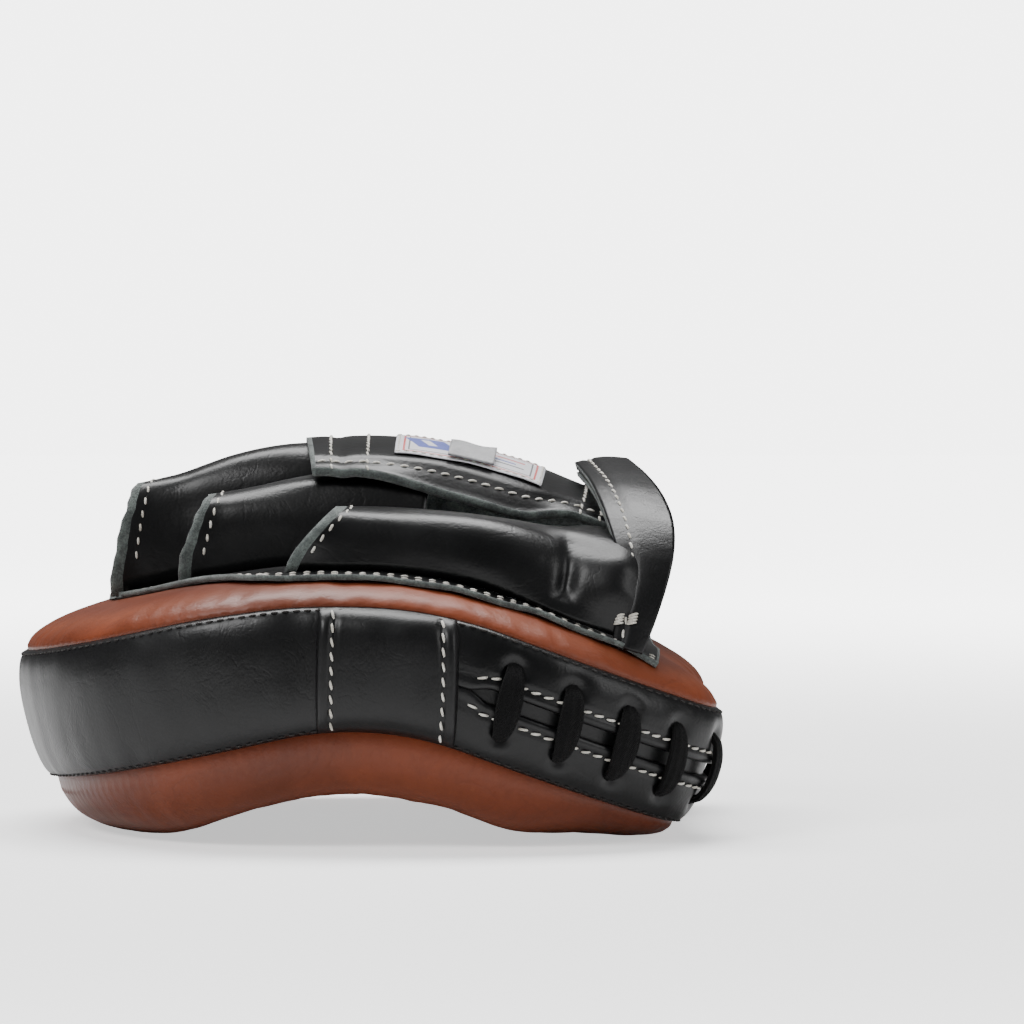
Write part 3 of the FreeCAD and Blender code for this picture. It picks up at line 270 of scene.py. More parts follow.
def leather_sheet(name, grid, thickness, materials, lip=0, inward=1.0, raw_rows=0):
    """A sheet of leather from a grid of its outer face: grain outside, suede on its edges and back.

    The thickness grows against the grid's normals, or along them where inward is -1. The lip is the
    number of raw rows all round, and raw_rows the number at the grid's first edge."""
    rows, columns = grid.shape[:2]
    normals = grid_normals(grid) * inward
    back = grid - normals * thickness * MM
    points = np.concatenate([grid.reshape(-1, 3), back.reshape(-1, 3)])
    count = rows * columns
    outer = grid_faces(rows, columns)
    inner = [face[::-1] for face in grid_faces(rows, columns, start=count)]
    rim = [(0, column) for column in range(columns)]
    rim += [(row, columns - 1) for row in range(1, rows)]
    rim += [(rows - 1, column) for column in range(columns - 2, -1, -1)]
    rim += [(row, 0) for row in range(rows - 2, 0, -1)]
    ring = [row * columns + column for row, column in rim]
    edge = [(first, first + count, second + count, second)
            for first, second in zip(ring, ring[1:] + ring[:1])]
    faces = outer + inner + edge
    if inward < 0:
        faces = [face[::-1] for face in faces]
    kinds = []
    for row in range(rows - 1):
        for column in range(columns - 1):
            near_rim = min(row, rows - 2 - row, column, columns - 2 - column) < lip
            kinds.append(1 if near_rim or row < raw_rows else 0)
    kinds += [1] * (len(inner) + len(edge))
    return make_piece(name, points, faces, materials, kinds)


def spaced(length, count, lip=0.9):
    """Shares from 0 to 1, even except for a narrow first and last step."""
    share = lip / length
    return np.concatenate([[0], np.linspace(share, 1 - share, count - 2), [1]])


def dress(piece, body, slot, *nodes):
    """Ride a piece on its body and hide the CAD nodes it stands for. The slot, the name of its finish, is
    not used.
    """
    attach(piece, body)
    if nodes:
        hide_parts(*nodes)
    print(piece.name, len(piece.data.polygons), "faces")
    return piece


# %% [markdown]
# ## Shared finishes
# Leather shows the same things at every colour: fine pores, shallow creases, cloudy dye and scuffs.
# One node group works those out from object coordinates and gives back a height and masks, and each
# leather mixes its own colours with them and darkens its creases with painted shade. Suede and thread
# get a fibre group of their own.

# %% Node groups
def add_node(tree, kind, **values):
    """A node with some of its settings and unlinked inputs filled in."""
    node = tree.nodes.new(kind)
    for key, value in values.items():
        if key.startswith("set_"):
            setattr(node, key[4:], value)
        else:
            node.inputs[key.replace("_", " ")].default_value = value
    return node


def mix_values(tree, operation, first, second):
    """A math node on two sockets or numbers."""
    node = tree.nodes.new("ShaderNodeMath")
    node.operation = operation
    for index, value in enumerate((first, second)):
        if isinstance(value, (int, float)):
            node.inputs[index].default_value = value
        else:
            tree.links.new(value, node.inputs[index])
    return node.outputs[0]


def band(tree, value, low, high):
    """A value taken from one range to 0 to 1, clamped."""
    node = tree.nodes.new("ShaderNodeMapRange")
    node.inputs["From Min"].default_value = low
    node.inputs["From Max"].default_value = high
    tree.links.new(value, node.inputs["Value"])
    return node.outputs["Result"]


def leather_group():
    """Height and masks of grained leather."""
    tree = bpy.data.node_groups.new("leather surface", "ShaderNodeTree")
    face = tree.interface
    for name, value in (("Grain", 900.0), ("Crease", 55.0), ("Cloud", 14.0)):
        socket = face.new_socket(name, in_out="INPUT", socket_type="NodeSocketFloat")
        socket.default_value = value
    for name in ("Height", "Creases", "Clouds", "Scuffs"):
        face.new_socket(name, in_out="OUTPUT", socket_type="NodeSocketFloat")
    inputs = tree.nodes.new("NodeGroupInput")
    outputs = tree.nodes.new("NodeGroupOutput")
    place = tree.nodes.new("ShaderNodeTexCoord").outputs["Object"]
    pores = add_node(tree, "ShaderNodeTexVoronoi", set_feature="SMOOTH_F1", Smoothness=0.35)
    fine = add_node(tree, "ShaderNodeTexNoise", Detail=3.0, Roughness=0.6)
    crease = add_node(tree, "ShaderNodeTexNoise", Detail=4.0, Roughness=0.62, Distortion=0.7)
    cloud = add_node(tree, "ShaderNodeTexNoise", Detail=4.0, Roughness=0.55, Distortion=0.3)
    scuff = add_node(tree, "ShaderNodeTexNoise", Scale=190.0, Detail=5.0, Roughness=0.75)
    for node in (pores, fine, crease, cloud, scuff):
        tree.links.new(place, node.inputs["Vector"])
    tree.links.new(inputs.outputs["Grain"], pores.inputs["Scale"])
    tree.links.new(mix_values(tree, "MULTIPLY", inputs.outputs["Grain"], 0.45), fine.inputs["Scale"])
    tree.links.new(inputs.outputs["Crease"], crease.inputs["Scale"])
    tree.links.new(inputs.outputs["Cloud"], cloud.inputs["Scale"])
    ridge = mix_values(tree, "ABSOLUTE", mix_values(tree, "SUBTRACT", crease.outputs["Fac"], 0.5), 0.0)
    lines = band(tree, ridge, 0.0, 0.035)
    grain = mix_values(tree, "MULTIPLY", pores.outputs["Distance"], 0.30)
    grain = mix_values(tree, "ADD", grain, mix_values(tree, "MULTIPLY", fine.outputs["Fac"], 0.35))
    height = mix_values(tree, "ADD", grain, mix_values(tree, "MULTIPLY", lines, 0.32))
    tree.links.new(height, outputs.inputs["Height"])
    tree.links.new(lines, outputs.inputs["Creases"])
    tree.links.new(band(tree, cloud.outputs["Fac"], 0.33, 0.67), outputs.inputs["Clouds"])
    tree.links.new(band(tree, scuff.outputs["Fac"], 0.60, 0.74), outputs.inputs["Scuffs"])
    return tree


def fibre_group():
    """Height and shade of a fibrous surface, such as suede or spun thread."""
    tree = bpy.data.node_groups.new("loose fibres", "ShaderNodeTree")
    socket = tree.interface.new_socket("Size", in_out="INPUT", socket_type="NodeSocketFloat")
    socket.default_value = 1400.0
    for name in ("Height", "Shade"):
        tree.interface.new_socket(name, in_out="OUTPUT", socket_type="NodeSocketFloat")
    inputs = tree.nodes.new("NodeGroupInput")
    outputs = tree.nodes.new("NodeGroupOutput")
    place = tree.nodes.new("ShaderNodeTexCoord").outputs["Object"]
    fine = add_node(tree, "ShaderNodeTexNoise", Detail=4.0, Roughness=0.8)
    broad = add_node(tree, "ShaderNodeTexNoise", Scale=160.0, Detail=3.0, Roughness=0.6)
    for node in (fine, broad):
        tree.links.new(place, node.inputs["Vector"])
    tree.links.new(inputs.outputs["Size"], fine.inputs["Scale"])
    tree.links.new(fine.outputs["Fac"], outputs.inputs["Height"])
    shade = mix_values(tree, "MULTIPLY", fine.outputs["Fac"], broad.outputs["Fac"])
    tree.links.new(band(tree, shade, 0.16, 0.36), outputs.inputs["Shade"])
    return tree


LEATHER = leather_group()
FIBRES = fibre_group()


# %% Material helpers
def blank_material(name):
    """A material with its Principled BSDF ready."""
    material = bpy.data.materials.new(name)
    material.use_nodes = True
    return material, material.node_tree, material.node_tree.nodes["Principled BSDF"]


def colour_mix(tree, factor, first, second):
    """Two colours, or sockets, mixed by a mask."""
    node = tree.nodes.new("ShaderNodeMix")
    node.data_type = "RGBA"
    tree.links.new(factor, node.inputs["Factor"])
    for name, value in (("A", first), ("B", second)):
        sockets = [socket for socket in node.inputs if socket.name == name and socket.type == "RGBA"]
        if isinstance(value, tuple):
            sockets[0].default_value = (*value, 1.0)
        else:
            tree.links.new(value, sockets[0])
    return [socket for socket in node.outputs if socket.type == "RGBA"][0]


def bump_from(tree, shader, height, strength, distance):
    """Feed a height to the shader's normal."""
    bump = add_node(tree, "ShaderNodeBump", Strength=strength, Distance=distance)
    tree.links.new(height, bump.inputs["Height"])
    tree.links.new(bump.outputs["Normal"], shader.inputs["Normal"])


def group_node(tree, group, **values):
    """A node group placed in a material with its own values."""
    node = tree.nodes.new("ShaderNodeGroup")
    node.node_tree = group
    for name, value in values.items():
        node.inputs[name].default_value = value
    return node


def leather(name, dark, light, worn, rough, coat, grain, crease, cloud, bump, edge_wear, crease_shade):
    """Leather from its dark, light and worn colours and the sizes of its grain, with painted shade
    darkening its crease lines.
    """
    material, tree, shader = blank_material(name)
    surface = group_node(tree, LEATHER, Grain=grain, Crease=crease, Cloud=cloud)
    colour = colour_mix(tree, surface.outputs["Clouds"], dark, light)
    wear = add_node(tree, "ShaderNodeAttribute", set_attribute_name="wear")
    rubbed = mix_values(tree, "MULTIPLY", wear.outputs["Fac"], edge_wear)
    scuffed = mix_values(tree, "ADD", surface.outputs["Scuffs"], 0.45)
    rubbed = mix_values(tree, "MULTIPLY", rubbed, scuffed)
    colour = colour_mix(tree, rubbed, colour, worn)
    # Painted shade: the crease lines are darkened towards a deeper copy of the dark colour.
    shade = mix_values(tree, "SUBTRACT", 1.0, surface.outputs["Creases"])
    shade = mix_values(tree, "MULTIPLY", shade, crease_shade)
    deep = tuple(value * 0.45 for value in dark)
    colour = colour_mix(tree, shade, colour, deep)
    tree.links.new(colour, shader.inputs["Base Color"])
    roughness = mix_values(tree, "MULTIPLY", surface.outputs["Clouds"], 0.12)
    roughness = mix_values(tree, "ADD", roughness, rough)
    tree.links.new(roughness, shader.inputs["Roughness"])
    shader.inputs["Coat Weight"].default_value = coat
    shader.inputs["Coat Roughness"].default_value = 0.28
    shader.inputs["Specular IOR Level"].default_value = 0.32
    bump_from(tree, shader, surface.outputs["Height"], bump, 0.0005)
    return material


def fibrous(name, dark, light, size, rough, sheen, bump):
    """Suede, thread or cotton from two colours."""
    material, tree, shader = blank_material(name)
    surface = group_node(tree, FIBRES, Size=size)
    colour = colour_mix(tree, surface.outputs["Shade"], dark, light)
    tree.links.new(colour, shader.inputs["Base Color"])
    shader.inputs["Roughness"].default_value = rough
    shader.inputs["Sheen Weight"].default_value = sheen
    shader.inputs["Sheen Roughness"].default_value = 0.5
    bump_from(tree, shader, surface.outputs["Height"], bump, 0.0006)
    return material


# %% [markdown]
# ## The mitt's own leathers
# The covers are oiled reddish-brown leather, darker in its clouds and rubbed lighter along the rims.
# The walls and glove are smooth black leather. The target is white and coarsely grained. Raw edges
# show grey-green split suede, and the seams are sewn with cream waxed thread.

# %% Materials of the mitt
brown = leather(
    "oiled brown leather", dark=(0.072, 0.0125, 0.0032), light=(0.175, 0.034, 0.0090),
    worn=(0.27, 0.074, 0.026), rough=0.39, coat=0.05, grain=1100.0, crease=34.0, cloud=13.0,
    bump=0.24, edge_wear=0.50, crease_shade=0.10)
black = leather(
    "black leather", dark=(0.0015, 0.0016, 0.0018), light=(0.0032, 0.0033, 0.0037),
    worn=(0.013, 0.013, 0.014), rough=0.29, coat=0.04, grain=1000.0, crease=60.0, cloud=22.0,
    bump=0.17, edge_wear=0.5, crease_shade=0.30)
white = leather(
    "white grained leather", dark=(0.66, 0.64, 0.60), light=(0.80, 0.79, 0.76),
    worn=(0.62, 0.58, 0.50), rough=0.48, coat=0.05, grain=420.0, crease=70.0, cloud=30.0,
    bump=0.8, edge_wear=0.4, crease_shade=0.15)
suede = fibrous(
    "grey suede", dark=(0.030, 0.038, 0.036), light=(0.130, 0.155, 0.145),
    size=1500.0, rough=0.95, sheen=0.35, bump=0.9)
thread = fibrous(
    "cream thread", dark=(0.50, 0.47, 0.40), light=(0.84, 0.82, 0.76),
    size=2600.0, rough=0.62, sheen=0.2, bump=0.6)
dark_thread = fibrous(
    "dark thread", dark=(0.004, 0.003, 0.003), light=(0.016, 0.012, 0.010),
    size=2600.0, rough=0.8, sheen=0.02, bump=0.5)
grain_and_suede = [black, suede]


def lace_material():
    """Black cotton, plaited in fine slanting strands along its own length, with painted shade darkening
    the grooves between the strands.
    """
    material, tree, shader = blank_material("black cotton lace")
    uv = add_node(tree, "ShaderNodeUVMap", set_uv_map="UVMap")
    waves = []
    for turn in (0.62, -0.62):
        mapping = add_node(tree, "ShaderNodeMapping", Rotation=(0.0, 0.0, turn))
        wave = add_node(tree, "ShaderNodeTexWave", Scale=5.5, Distortion=1.2, Detail=2.0)
        tree.links.new(uv.outputs["UV"], mapping.inputs["Vector"])
        tree.links.new(mapping.outputs["Vector"], wave.inputs["Vector"])
        waves.append(wave.outputs["Fac"])
    plait = mix_values(tree, "MAXIMUM", waves[0], waves[1])
    fibres = group_node(tree, FIBRES, Size=2200.0)
    fuzz = mix_values(tree, "MULTIPLY", fibres.outputs["Height"], 0.6)
    height = mix_values(tree, "ADD", plait, fuzz)
    # Painted shade: the plait's colour is darker where its height is low, in the grooves.
    groove_shade = band(tree, height, 0.3, 1.5)
    colour = colour_mix(tree, groove_shade, (0.0008, 0.0008, 0.0009), (0.0045, 0.0045, 0.0048))
    tree.links.new(colour, shader.inputs["Base Color"])
    shader.inputs["Roughness"].default_value = 0.9
    shader.inputs["Specular IOR Level"].default_value = 0.12
    shader.inputs["Sheen Weight"].default_value = 0.03
    bump_from(tree, shader, height, 0.8, 0.0007)
    return material


def label_material():
    """White woven label: coloured border lines and plain abstract blocks, with no lettering, and painted
    shade darkening the hollows of its weave.
    """
    material, tree, shader = blank_material("woven label")
    uv = add_node(tree, "ShaderNodeUVMap", set_uv_map="UVMap")
    split = tree.nodes.new("ShaderNodeSeparateXYZ")
    tree.links.new(uv.outputs["UV"], split.inputs["Vector"])
    across, along = split.outputs["X"], split.outputs["Y"]
    red, ink, blue = (0.55, 0.03, 0.03), (0.03, 0.03, 0.04), (0.02, 0.05, 0.36)
    tall = 1.7

    def inside(value, low, high):
        above = mix_values(tree, "GREATER_THAN", value, low)
        below = mix_values(tree, "LESS_THAN", value, high)
        return mix_values(tree, "MULTIPLY", above, below)

    def block(low_x, high_x, low_y, high_y):
        return mix_values(tree, "MULTIPLY", inside(across, low_x, high_x), inside(along, low_y, high_y))

    def frame_line(margin, width):
        outer = block(margin, 1 - margin, margin * tall, 1 - margin * tall)
        step = margin + width
        inner = block(step, 1 - step, step * tall, 1 - step * tall)
        return mix_values(tree, "SUBTRACT", outer, inner)

    weave = add_node(tree, "ShaderNodeTexWave", Scale=60.0, set_bands_direction="X")
    weft = add_node(tree, "ShaderNodeTexWave", Scale=42.0, set_bands_direction="Y")
    for node in (weave, weft):
        tree.links.new(uv.outputs["UV"], node.inputs["Vector"])
    cloth = mix_values(tree, "MULTIPLY", weave.outputs["Fac"], weft.outputs["Fac"])
    # Painted shade: the white cloth is darker where its weave is low, in the same pattern as its bump.
    colour = colour_mix(tree, cloth, (0.60, 0.60, 0.63), (0.80, 0.80, 0.82))
    slope = mix_values(tree, "ADD", across, mix_values(tree, "MULTIPLY", along, 0.22))
    blue_mark = mix_values(tree, "MULTIPLY", inside(slope, 0.22, 0.48), inside(along, 0.30, 0.78))
    gap = mix_values(tree, "MULTIPLY", inside(slope, 0.31, 0.37), inside(along, 0.42, 0.70))
    blue_mark = mix_values(tree, "SUBTRACT", blue_mark, gap)
    for mask, tint in (
            (frame_line(0.05, 0.014), red),
            (frame_line(0.085, 0.010), ink),
            (blue_mark, blue),
            (block(0.62, 0.86, 0.60, 0.66), red),
            (block(0.62, 0.80, 0.44, 0.49), blue),
            (block(0.66, 0.86, 0.32, 0.36), ink)):
        colour = colour_mix(tree, mask, colour, tint)
    tree.links.new(colour, shader.inputs["Base Color"])
    shader.inputs["Roughness"].default_value = 0.5
    shader.inputs["Sheen Weight"].default_value = 0.3
    bump_from(tree, shader, cloth, 0.4, 0.0002)
    return material


def satin_material():
    """Grey satin ribbon with fine ribs."""
    material, tree, shader = blank_material("grey satin")
    uv = add_node(tree, "ShaderNodeUVMap", set_uv_map="UVMap")
    ribs = add_node(tree, "ShaderNodeTexWave", Scale=38.0, Distortion=0.6, set_bands_direction="Y")
    tree.links.new(uv.outputs["UV"], ribs.inputs["Vector"])
    fibres = group_node(tree, FIBRES, Size=700.0)
    colour = colour_mix(tree, fibres.outputs["Shade"], (0.20, 0.20, 0.21), (0.36, 0.36, 0.37))
    tree.links.new(colour, shader.inputs["Base Color"])
    shader.inputs["Roughness"].default_value = 0.33
    shader.inputs["Sheen Weight"].default_value = 0.4
    bump_from(tree, shader, ribs.outputs["Fac"], 0.3, 0.0002)
    return material


lace_cotton = lace_material()
label_cloth = label_material()
satin = satin_material()
print(len(bpy.data.materials), "materials")

# %% [markdown]
# ## Stitches
# A row of stitches repeats one small shape along a line, which is what Geometry Nodes do well. Each
# seam is drawn as a line of points that remember which way is out of the leather. The node tree
# spaces points along the line, puts a stitch on each, turns it with the line and slants it, and
# varies it a little with a fixed seed. The result is made into one plain mesh for each kind of row.

# %% Stitch tree
ROWS = []


def stitch_shape(name, length=3.1, thick=0.42, high=0.55):
    """One stitch: a short thread that rises from the leather and dives back."""
    shape = []
    rings, sides = 6, 6
    for share in np.linspace(-1, 1, rings):
        lift = high * (1 - abs(share) ** 2.2) - 0.35
        around = thick * (1 - 0.45 * abs(share) ** 3)
        for turn in np.linspace(0, 2 * math.pi, sides, endpoint=False):
            up = lift + around * 0.8 * math.sin(turn)
            shape.append((share * length / 2, around * math.cos(turn), up))
    faces = [face[::-1] for face in grid_faces(rings, sides, wrap=True)]
    faces.append(tuple(range(sides)))
    faces.append(tuple(range(rings * sides - 1, (rings - 1) * sides - 1, -1)))
    mesh = bpy.data.meshes.new(name)
    mesh.from_pydata([tuple(value * MM for value in point) for point in shape], [], faces)
    mesh.polygons.foreach_set("use_smooth", [True] * len(mesh.polygons))
    mesh.update()
    return bpy.data.objects.new(name, mesh)


def stitch_tree():
    """Stitches along the lines of a mesh."""
    tree = bpy.data.node_groups.new("sewn row", "GeometryNodeTree")
    face = tree.interface
    face.new_socket("Geometry", in_out="INPUT", socket_type="NodeSocketGeometry")
    for name, kind in (("Stitch", "NodeSocketObject"), ("Pitch", "NodeSocketFloat"),
                       ("Slant", "NodeSocketFloat"), ("Thread", "NodeSocketMaterial")):
        face.new_socket(name, in_out="INPUT", socket_type=kind)
    face.new_socket("Geometry", in_out="OUTPUT", socket_type="NodeSocketGeometry")
    inputs = tree.nodes.new("NodeGroupInput")
    outputs = tree.nodes.new("NodeGroupOutput")
    link = tree.links.new
    curve = tree.nodes.new("GeometryNodeMeshToCurve")
    resample = tree.nodes.new("GeometryNodeResampleCurve")
    resample.mode = "LENGTH"
    tangent = tree.nodes.new("GeometryNodeInputTangent")
    out = tree.nodes.new("GeometryNodeInputNamedAttribute")
    out.data_type = "FLOAT_VECTOR"
    out.inputs["Name"].default_value = "out"
    along = tree.nodes.new("FunctionNodeAlignRotationToVector")
    along.axis = "X"
    upright = tree.nodes.new("FunctionNodeAlignRotationToVector")
    upright.axis = "Z"
    upright.pivot_axis = "X"
    info = tree.nodes.new("GeometryNodeObjectInfo")
    place = tree.nodes.new("GeometryNodeInstanceOnPoints")
    chance = tree.nodes.new("FunctionNodeRandomValue")
    chance.data_type = "FLOAT"
    chance.inputs[2].default_value = -0.07
    chance.inputs[3].default_value = 0.07
    chance.inputs["Seed"].default_value = 11
    lean_by = tree.nodes.new("ShaderNodeMath")
    turn = tree.nodes.new("ShaderNodeCombineXYZ")
    rotate = tree.nodes.new("GeometryNodeRotateInstances")
    realize = tree.nodes.new("GeometryNodeRealizeInstances")
    paint = tree.nodes.new("GeometryNodeSetMaterial")
    link(inputs.outputs["Geometry"], curve.inputs["Mesh"])
    link(curve.outputs["Curve"], resample.inputs["Curve"])
    link(inputs.outputs["Pitch"], resample.inputs["Length"])
    link(tangent.outputs["Tangent"], along.inputs["Vector"])
    link(along.outputs["Rotation"], upright.inputs["Rotation"])
    link(out.outputs["Attribute"], upright.inputs["Vector"])
    link(inputs.outputs["Stitch"], info.inputs["Object"])
    link(resample.outputs["Curve"], place.inputs["Points"])
    link(info.outputs["Geometry"], place.inputs["Instance"])
    link(upright.outputs["Rotation"], place.inputs["Rotation"])
    link(inputs.outputs["Slant"], lean_by.inputs[0])
    link(chance.outputs[1], lean_by.inputs[1])
    link(lean_by.outputs[0], turn.inputs["Z"])
    link(place.outputs["Instances"], rotate.inputs["Instances"])
    link(turn.outputs["Vector"], rotate.inputs["Rotation"])
    link(rotate.outputs["Instances"], realize.inputs["Geometry"])
    link(realize.outputs["Geometry"], paint.inputs["Geometry"])
    link(inputs.outputs["Thread"], paint.inputs["Material"])
    link(paint.outputs["Geometry"], outputs.inputs["Geometry"])
    return tree


STITCH_TREE = stitch_tree()
SEWN = stitch_shape("sewn stitch")
SMALL = stitch_shape("small stitch", 2.2, 0.3, 0.45)


def sew(points, outward, kind="cream"):
    """Remember a row of stitches along points, with the direction out of the leather at each."""
    ROWS.append((kind, np.asarray(points, float), np.asarray(outward, float)))


def sew_above(surface, lift, kind="cream"):
    """A row a little above a surface that is given as a function of the lift alone."""
    row = surface(lift)
    sew(row, row - surface(lift - 1.0), kind)


def sew_on(surface, first, last, kind="cream", lift=0.15, count=70):
    """A row on a surface given as a function of two shares, between two places on it."""
    along = np.linspace(0, 1, count)
    u = first[0] + (last[0] - first[0]) * along
    v = first[1] + (last[1] - first[1]) * along
    step = 0.002
    points = surface(u, v)
    normals = np.cross(surface(u + step, v) - points, surface(u, v + step) - points)
    normals /= np.maximum(np.linalg.norm(normals, axis=-1), 1e-15)[:, None]
    sew(points + normals * lift * MM, normals, kind)


def finish_rows(name, kind, stitch, pitch, slant, material):
    """Turn every remembered row of one kind into a plain mesh of stitches."""
    points, edges, normals = [], [], []
    for row_kind, row, outward in ROWS:
        if row_kind != kind:
            continue
        start = len(points)
        points += [tuple(point) for point in row]
        normals += [tuple(direction) for direction in outward]
        edges += [(start + index, start + index + 1) for index in range(len(row) - 1)]
    mesh = bpy.data.meshes.new(name + " lines")
    mesh.from_pydata(points, edges, [])
    attribute = mesh.attributes.new("out", "FLOAT_VECTOR", "POINT")
    attribute.data.foreach_set("vector", np.array(normals, np.float32).ravel())
    lines = bpy.data.objects.new(name + " lines", mesh)
    bpy.context.scene.collection.objects.link(lines)
    modifier = lines.modifiers.new("rows", "NODES")
    modifier.node_group = STITCH_TREE
    values = {"Stitch": stitch, "Pitch": pitch * MM, "Slant": slant, "Thread": material}
    for item in STITCH_TREE.interface.items_tree:
        if item.in_out == "INPUT" and item.name in values:
            modifier[item.identifier] = values[item.name]
    graph = bpy.context.evaluated_depsgraph_get()
    result = bpy.data.meshes.new_from_object(lines.evaluated_get(graph))
    bpy.data.objects.remove(lines)
    piece = bpy.data.objects.new(name, result)
    bpy.context.scene.collection.objects.link(piece)
    return piece


# %% [markdown]
# ## The padded covers
# The strike face and the back are each one piece of leather pulled over foam. It rises steeply from
# the seam and then lies nearly flat. The strike face thins towards the wrist and stands a little
# prouder near both ends, where its foam is held least. Rings of points
# that shrink towards the middle follow the outline, and small puckers gather where it is sewn.
# A simulation would blur the outline, so the crown is worked out from the distance to the seam.

# %% Crowned covers
FACE_DEPTH = 20.0
TAPER = math.radians(8)
FACE_SIDE_RUN_IN = 13.0
FACE_END_RUN_IN = 21.0
BACK_RUN_IN = 33.0


def face_level(run):
    """Level of the strike face, which thins towards the wrist end."""
    flat = FIRM_RADIUS - WALL_HALF - FACE_DEPTH
    start = HALF_BEND - TAPER
    angle = np.clip(run / FIRM_RADIUS, -HALF_BEND, HALF_BEND)
    past = np.maximum(run - BEND_END, 0)
    flat = flat - 3.6 * hump(run, -77, 19) - 3.4 * hump(run, 58, 18)
    in_bend = flat / np.cos(np.maximum(angle - start, 0))
    on_slab = (flat + past * math.sin(TAPER)) / math.cos(TAPER)
    return np.where(run > BEND_END, on_slab, in_bend) - FIRM_RADIUS


def crown(distance, run_in, power=2.1):
    """Share of the full height at a distance in from the seam."""
    near = np.clip(1 - distance / run_in, 0, 1)
    return (1 - near ** power) ** (1 / power)


def back_level(run, across, distance):
    """Level of the back cover's leather."""
    swell = 0.45 * np.sin(run / 23.0 + 0.7) * np.cos(across / 31.0) * crown(distance, 40.0)
    return WALL_HALF + (BACK_TOP - WALL_HALF) * crown(distance, BACK_RUN_IN) + swell - 0.45


def cover(name, material, is_face):
    """One crowned cover, from its middle to the leather turned in behind the seam."""
    places = np.linspace(0, GIRTH, 520, endpoint=False)
    rings = 1 - (1 - np.linspace(0, 1, 46)) ** 1.7
    rim = along_outline(places)
    flat = rim[None] * rings[1:, None, None]
    distance = inside_distance(flat)
    distance[-1] = 0
    run, across = flat[..., 0], flat[..., 1]
    sign = -1 if is_face else 1
    if is_face:
        run_in = FACE_SIDE_RUN_IN + (FACE_END_RUN_IN - FACE_SIDE_RUN_IN) * smooth(np.abs(run), 50, 85)
        level = -WALL_HALF + (face_level(run) + WALL_HALF) * crown(distance, run_in, 2.2)
    else:
        level = back_level(run, across, distance)
        level[-1] = WALL_HALF
    round_turn = places / GIRTH * 2 * math.pi
    pucker_place = np.stack([np.cos(round_turn), np.sin(round_turn)], -1) * GIRTH / 34
    pucker_place = np.broadcast_to(pucker_place[None], (*distance.shape, 2))
    depth = np.concatenate([pucker_place, distance[..., None] / 30], -1)
    gather = ripple(depth, 1.0, 3.0 if is_face else 5.0) * np.exp(-distance / 9)
    gather = gather * np.minimum(distance / 2, 1)
    broad = ripple(np.stack([run, across, level * 0], -1) * MM, 0.034, 1.0 if is_face else 2.0)
    level = level + sign * (gather * 0.75 + broad * 0.55 * smooth(distance, 3, 18))
    points = bent(run, across, level)
    tucks = []
    for grow, past in ((-0.5, 0.7), (-2.2, 1.6)):
        turned = along_outline(places, grow)
        tucks.append(bent(turned[:, 0], turned[:, 1], sign * (WALL_HALF - past)))
    points = np.concatenate([points, np.array(tucks)])
    points[..., 2] = np.maximum(points[..., 2], 0.0)
    origin = np.zeros(1)
    centre_level = face_level(origin) if is_face else back_level(origin, 0.0, np.full(1, 90.0))
    centre = bent(origin, origin, centre_level)
    rows, columns = points.shape[:2]
    faces = grid_faces(rows, columns, wrap=True, start=1)
    faces += [(0, 1 + (column + 1) % columns, 1 + column) for column in range(columns)]
    if is_face:
        faces = [face[::-1] for face in faces]
    piece = make_piece(name, np.concatenate([centre, points.reshape(-1, 3)]), faces, [material])
    rubbed = hump(np.concatenate([distance, np.zeros((2, columns))]), 7, 6)
    mark(piece, "wear", np.concatenate([[0], rubbed.ravel()]))
    return piece


dress(cover("strike_face_leather", brown, True), "mitt", "brown_leather",
      "strike_face_cover", "strike_face_foam", "core_foam")
dress(cover("back_leather", brown, False), "mitt", "brown_leather", "back_cover", "back_foam")

# %% [markdown]
# ## The side wall
# Black gussets run round the edge of the pad and belly out between two seams. The finger end has one
# gusset. The wrist end has two, with a slit between them whose edges are folded back and sewn. Each is
# a grid along the outline whose swell depends on the level, with dimples where the lace goes through.

# %% Gussets
SLIT_HALF = 2.1
SLIT_START = 1.5
SLIT_POINT = 8.0
LACE_COUNT = 15
LACE_SPAN = 10.5
LACE_LEAN = -1.5
GUSSET_END = 6.0
near_end = float(place_of_run(BEND_END, -1))
far_end = float(place_of_run(BEND_END, 1))
wrist_length = near_end - far_end
first_bar = 14.5
bar_runs = np.linspace(first_bar, wrist_length - first_bar, LACE_COUNT)


def swell(level):
    """How far the wall stands out at a level."""
    return WALL_BULGE * np.sqrt(np.clip(1 - np.abs(level / WALL_HALF) ** 2.5, 0, 1))


def dimples(place, level):
    """Hollows round the punched holes."""
    hollow = np.zeros(np.broadcast(place, level).shape)
    for run in bar_runs:
        for side in (-1, 1):
            hole = near_end - (run + side * LACE_LEAN)
            gap = (place - hole) ** 2 + (level - side * LACE_SPAN) ** 2
            hollow += 1.9 * np.exp(-gap / (2 * 2.4 ** 2))
    return hollow


def wall_point(place, level, proud=0.0, with_holes=True):
    """A point of the wall by its distance round the outline and its level."""
    place, level = np.broadcast_arrays(np.asarray(place, float), np.asarray(level, float))
    plain = along_outline(place, 0.0)
    where = np.concatenate([plain, level[..., None]], -1) * MM
    edge = WALL_HALF - np.abs(level)
    crease = ripple(where * [1, 1, 0.35], 0.0085, 4.0) * (0.25 + 0.75 * np.exp(-edge / 5))
    crease = crease * np.minimum(edge / 2.0, 1)
    slow = ripple(where, 0.036, 6.0) * np.minimum(edge / 8.0, 1)
    grow = swell(level) + proud + crease * 0.75 + slow * 0.9
    if with_holes:
        grow = grow - dimples(place, level)
    flat = along_outline(place, grow)
    return bent(flat[..., 0], flat[..., 1], level)


def slit_half_at(place):
    """Half the slit's opening at a place, which comes to a point beside each band."""
    run = np.minimum(near_end - place, place - far_end)
    return SLIT_HALF * smooth(run, SLIT_START, SLIT_START + SLIT_POINT)


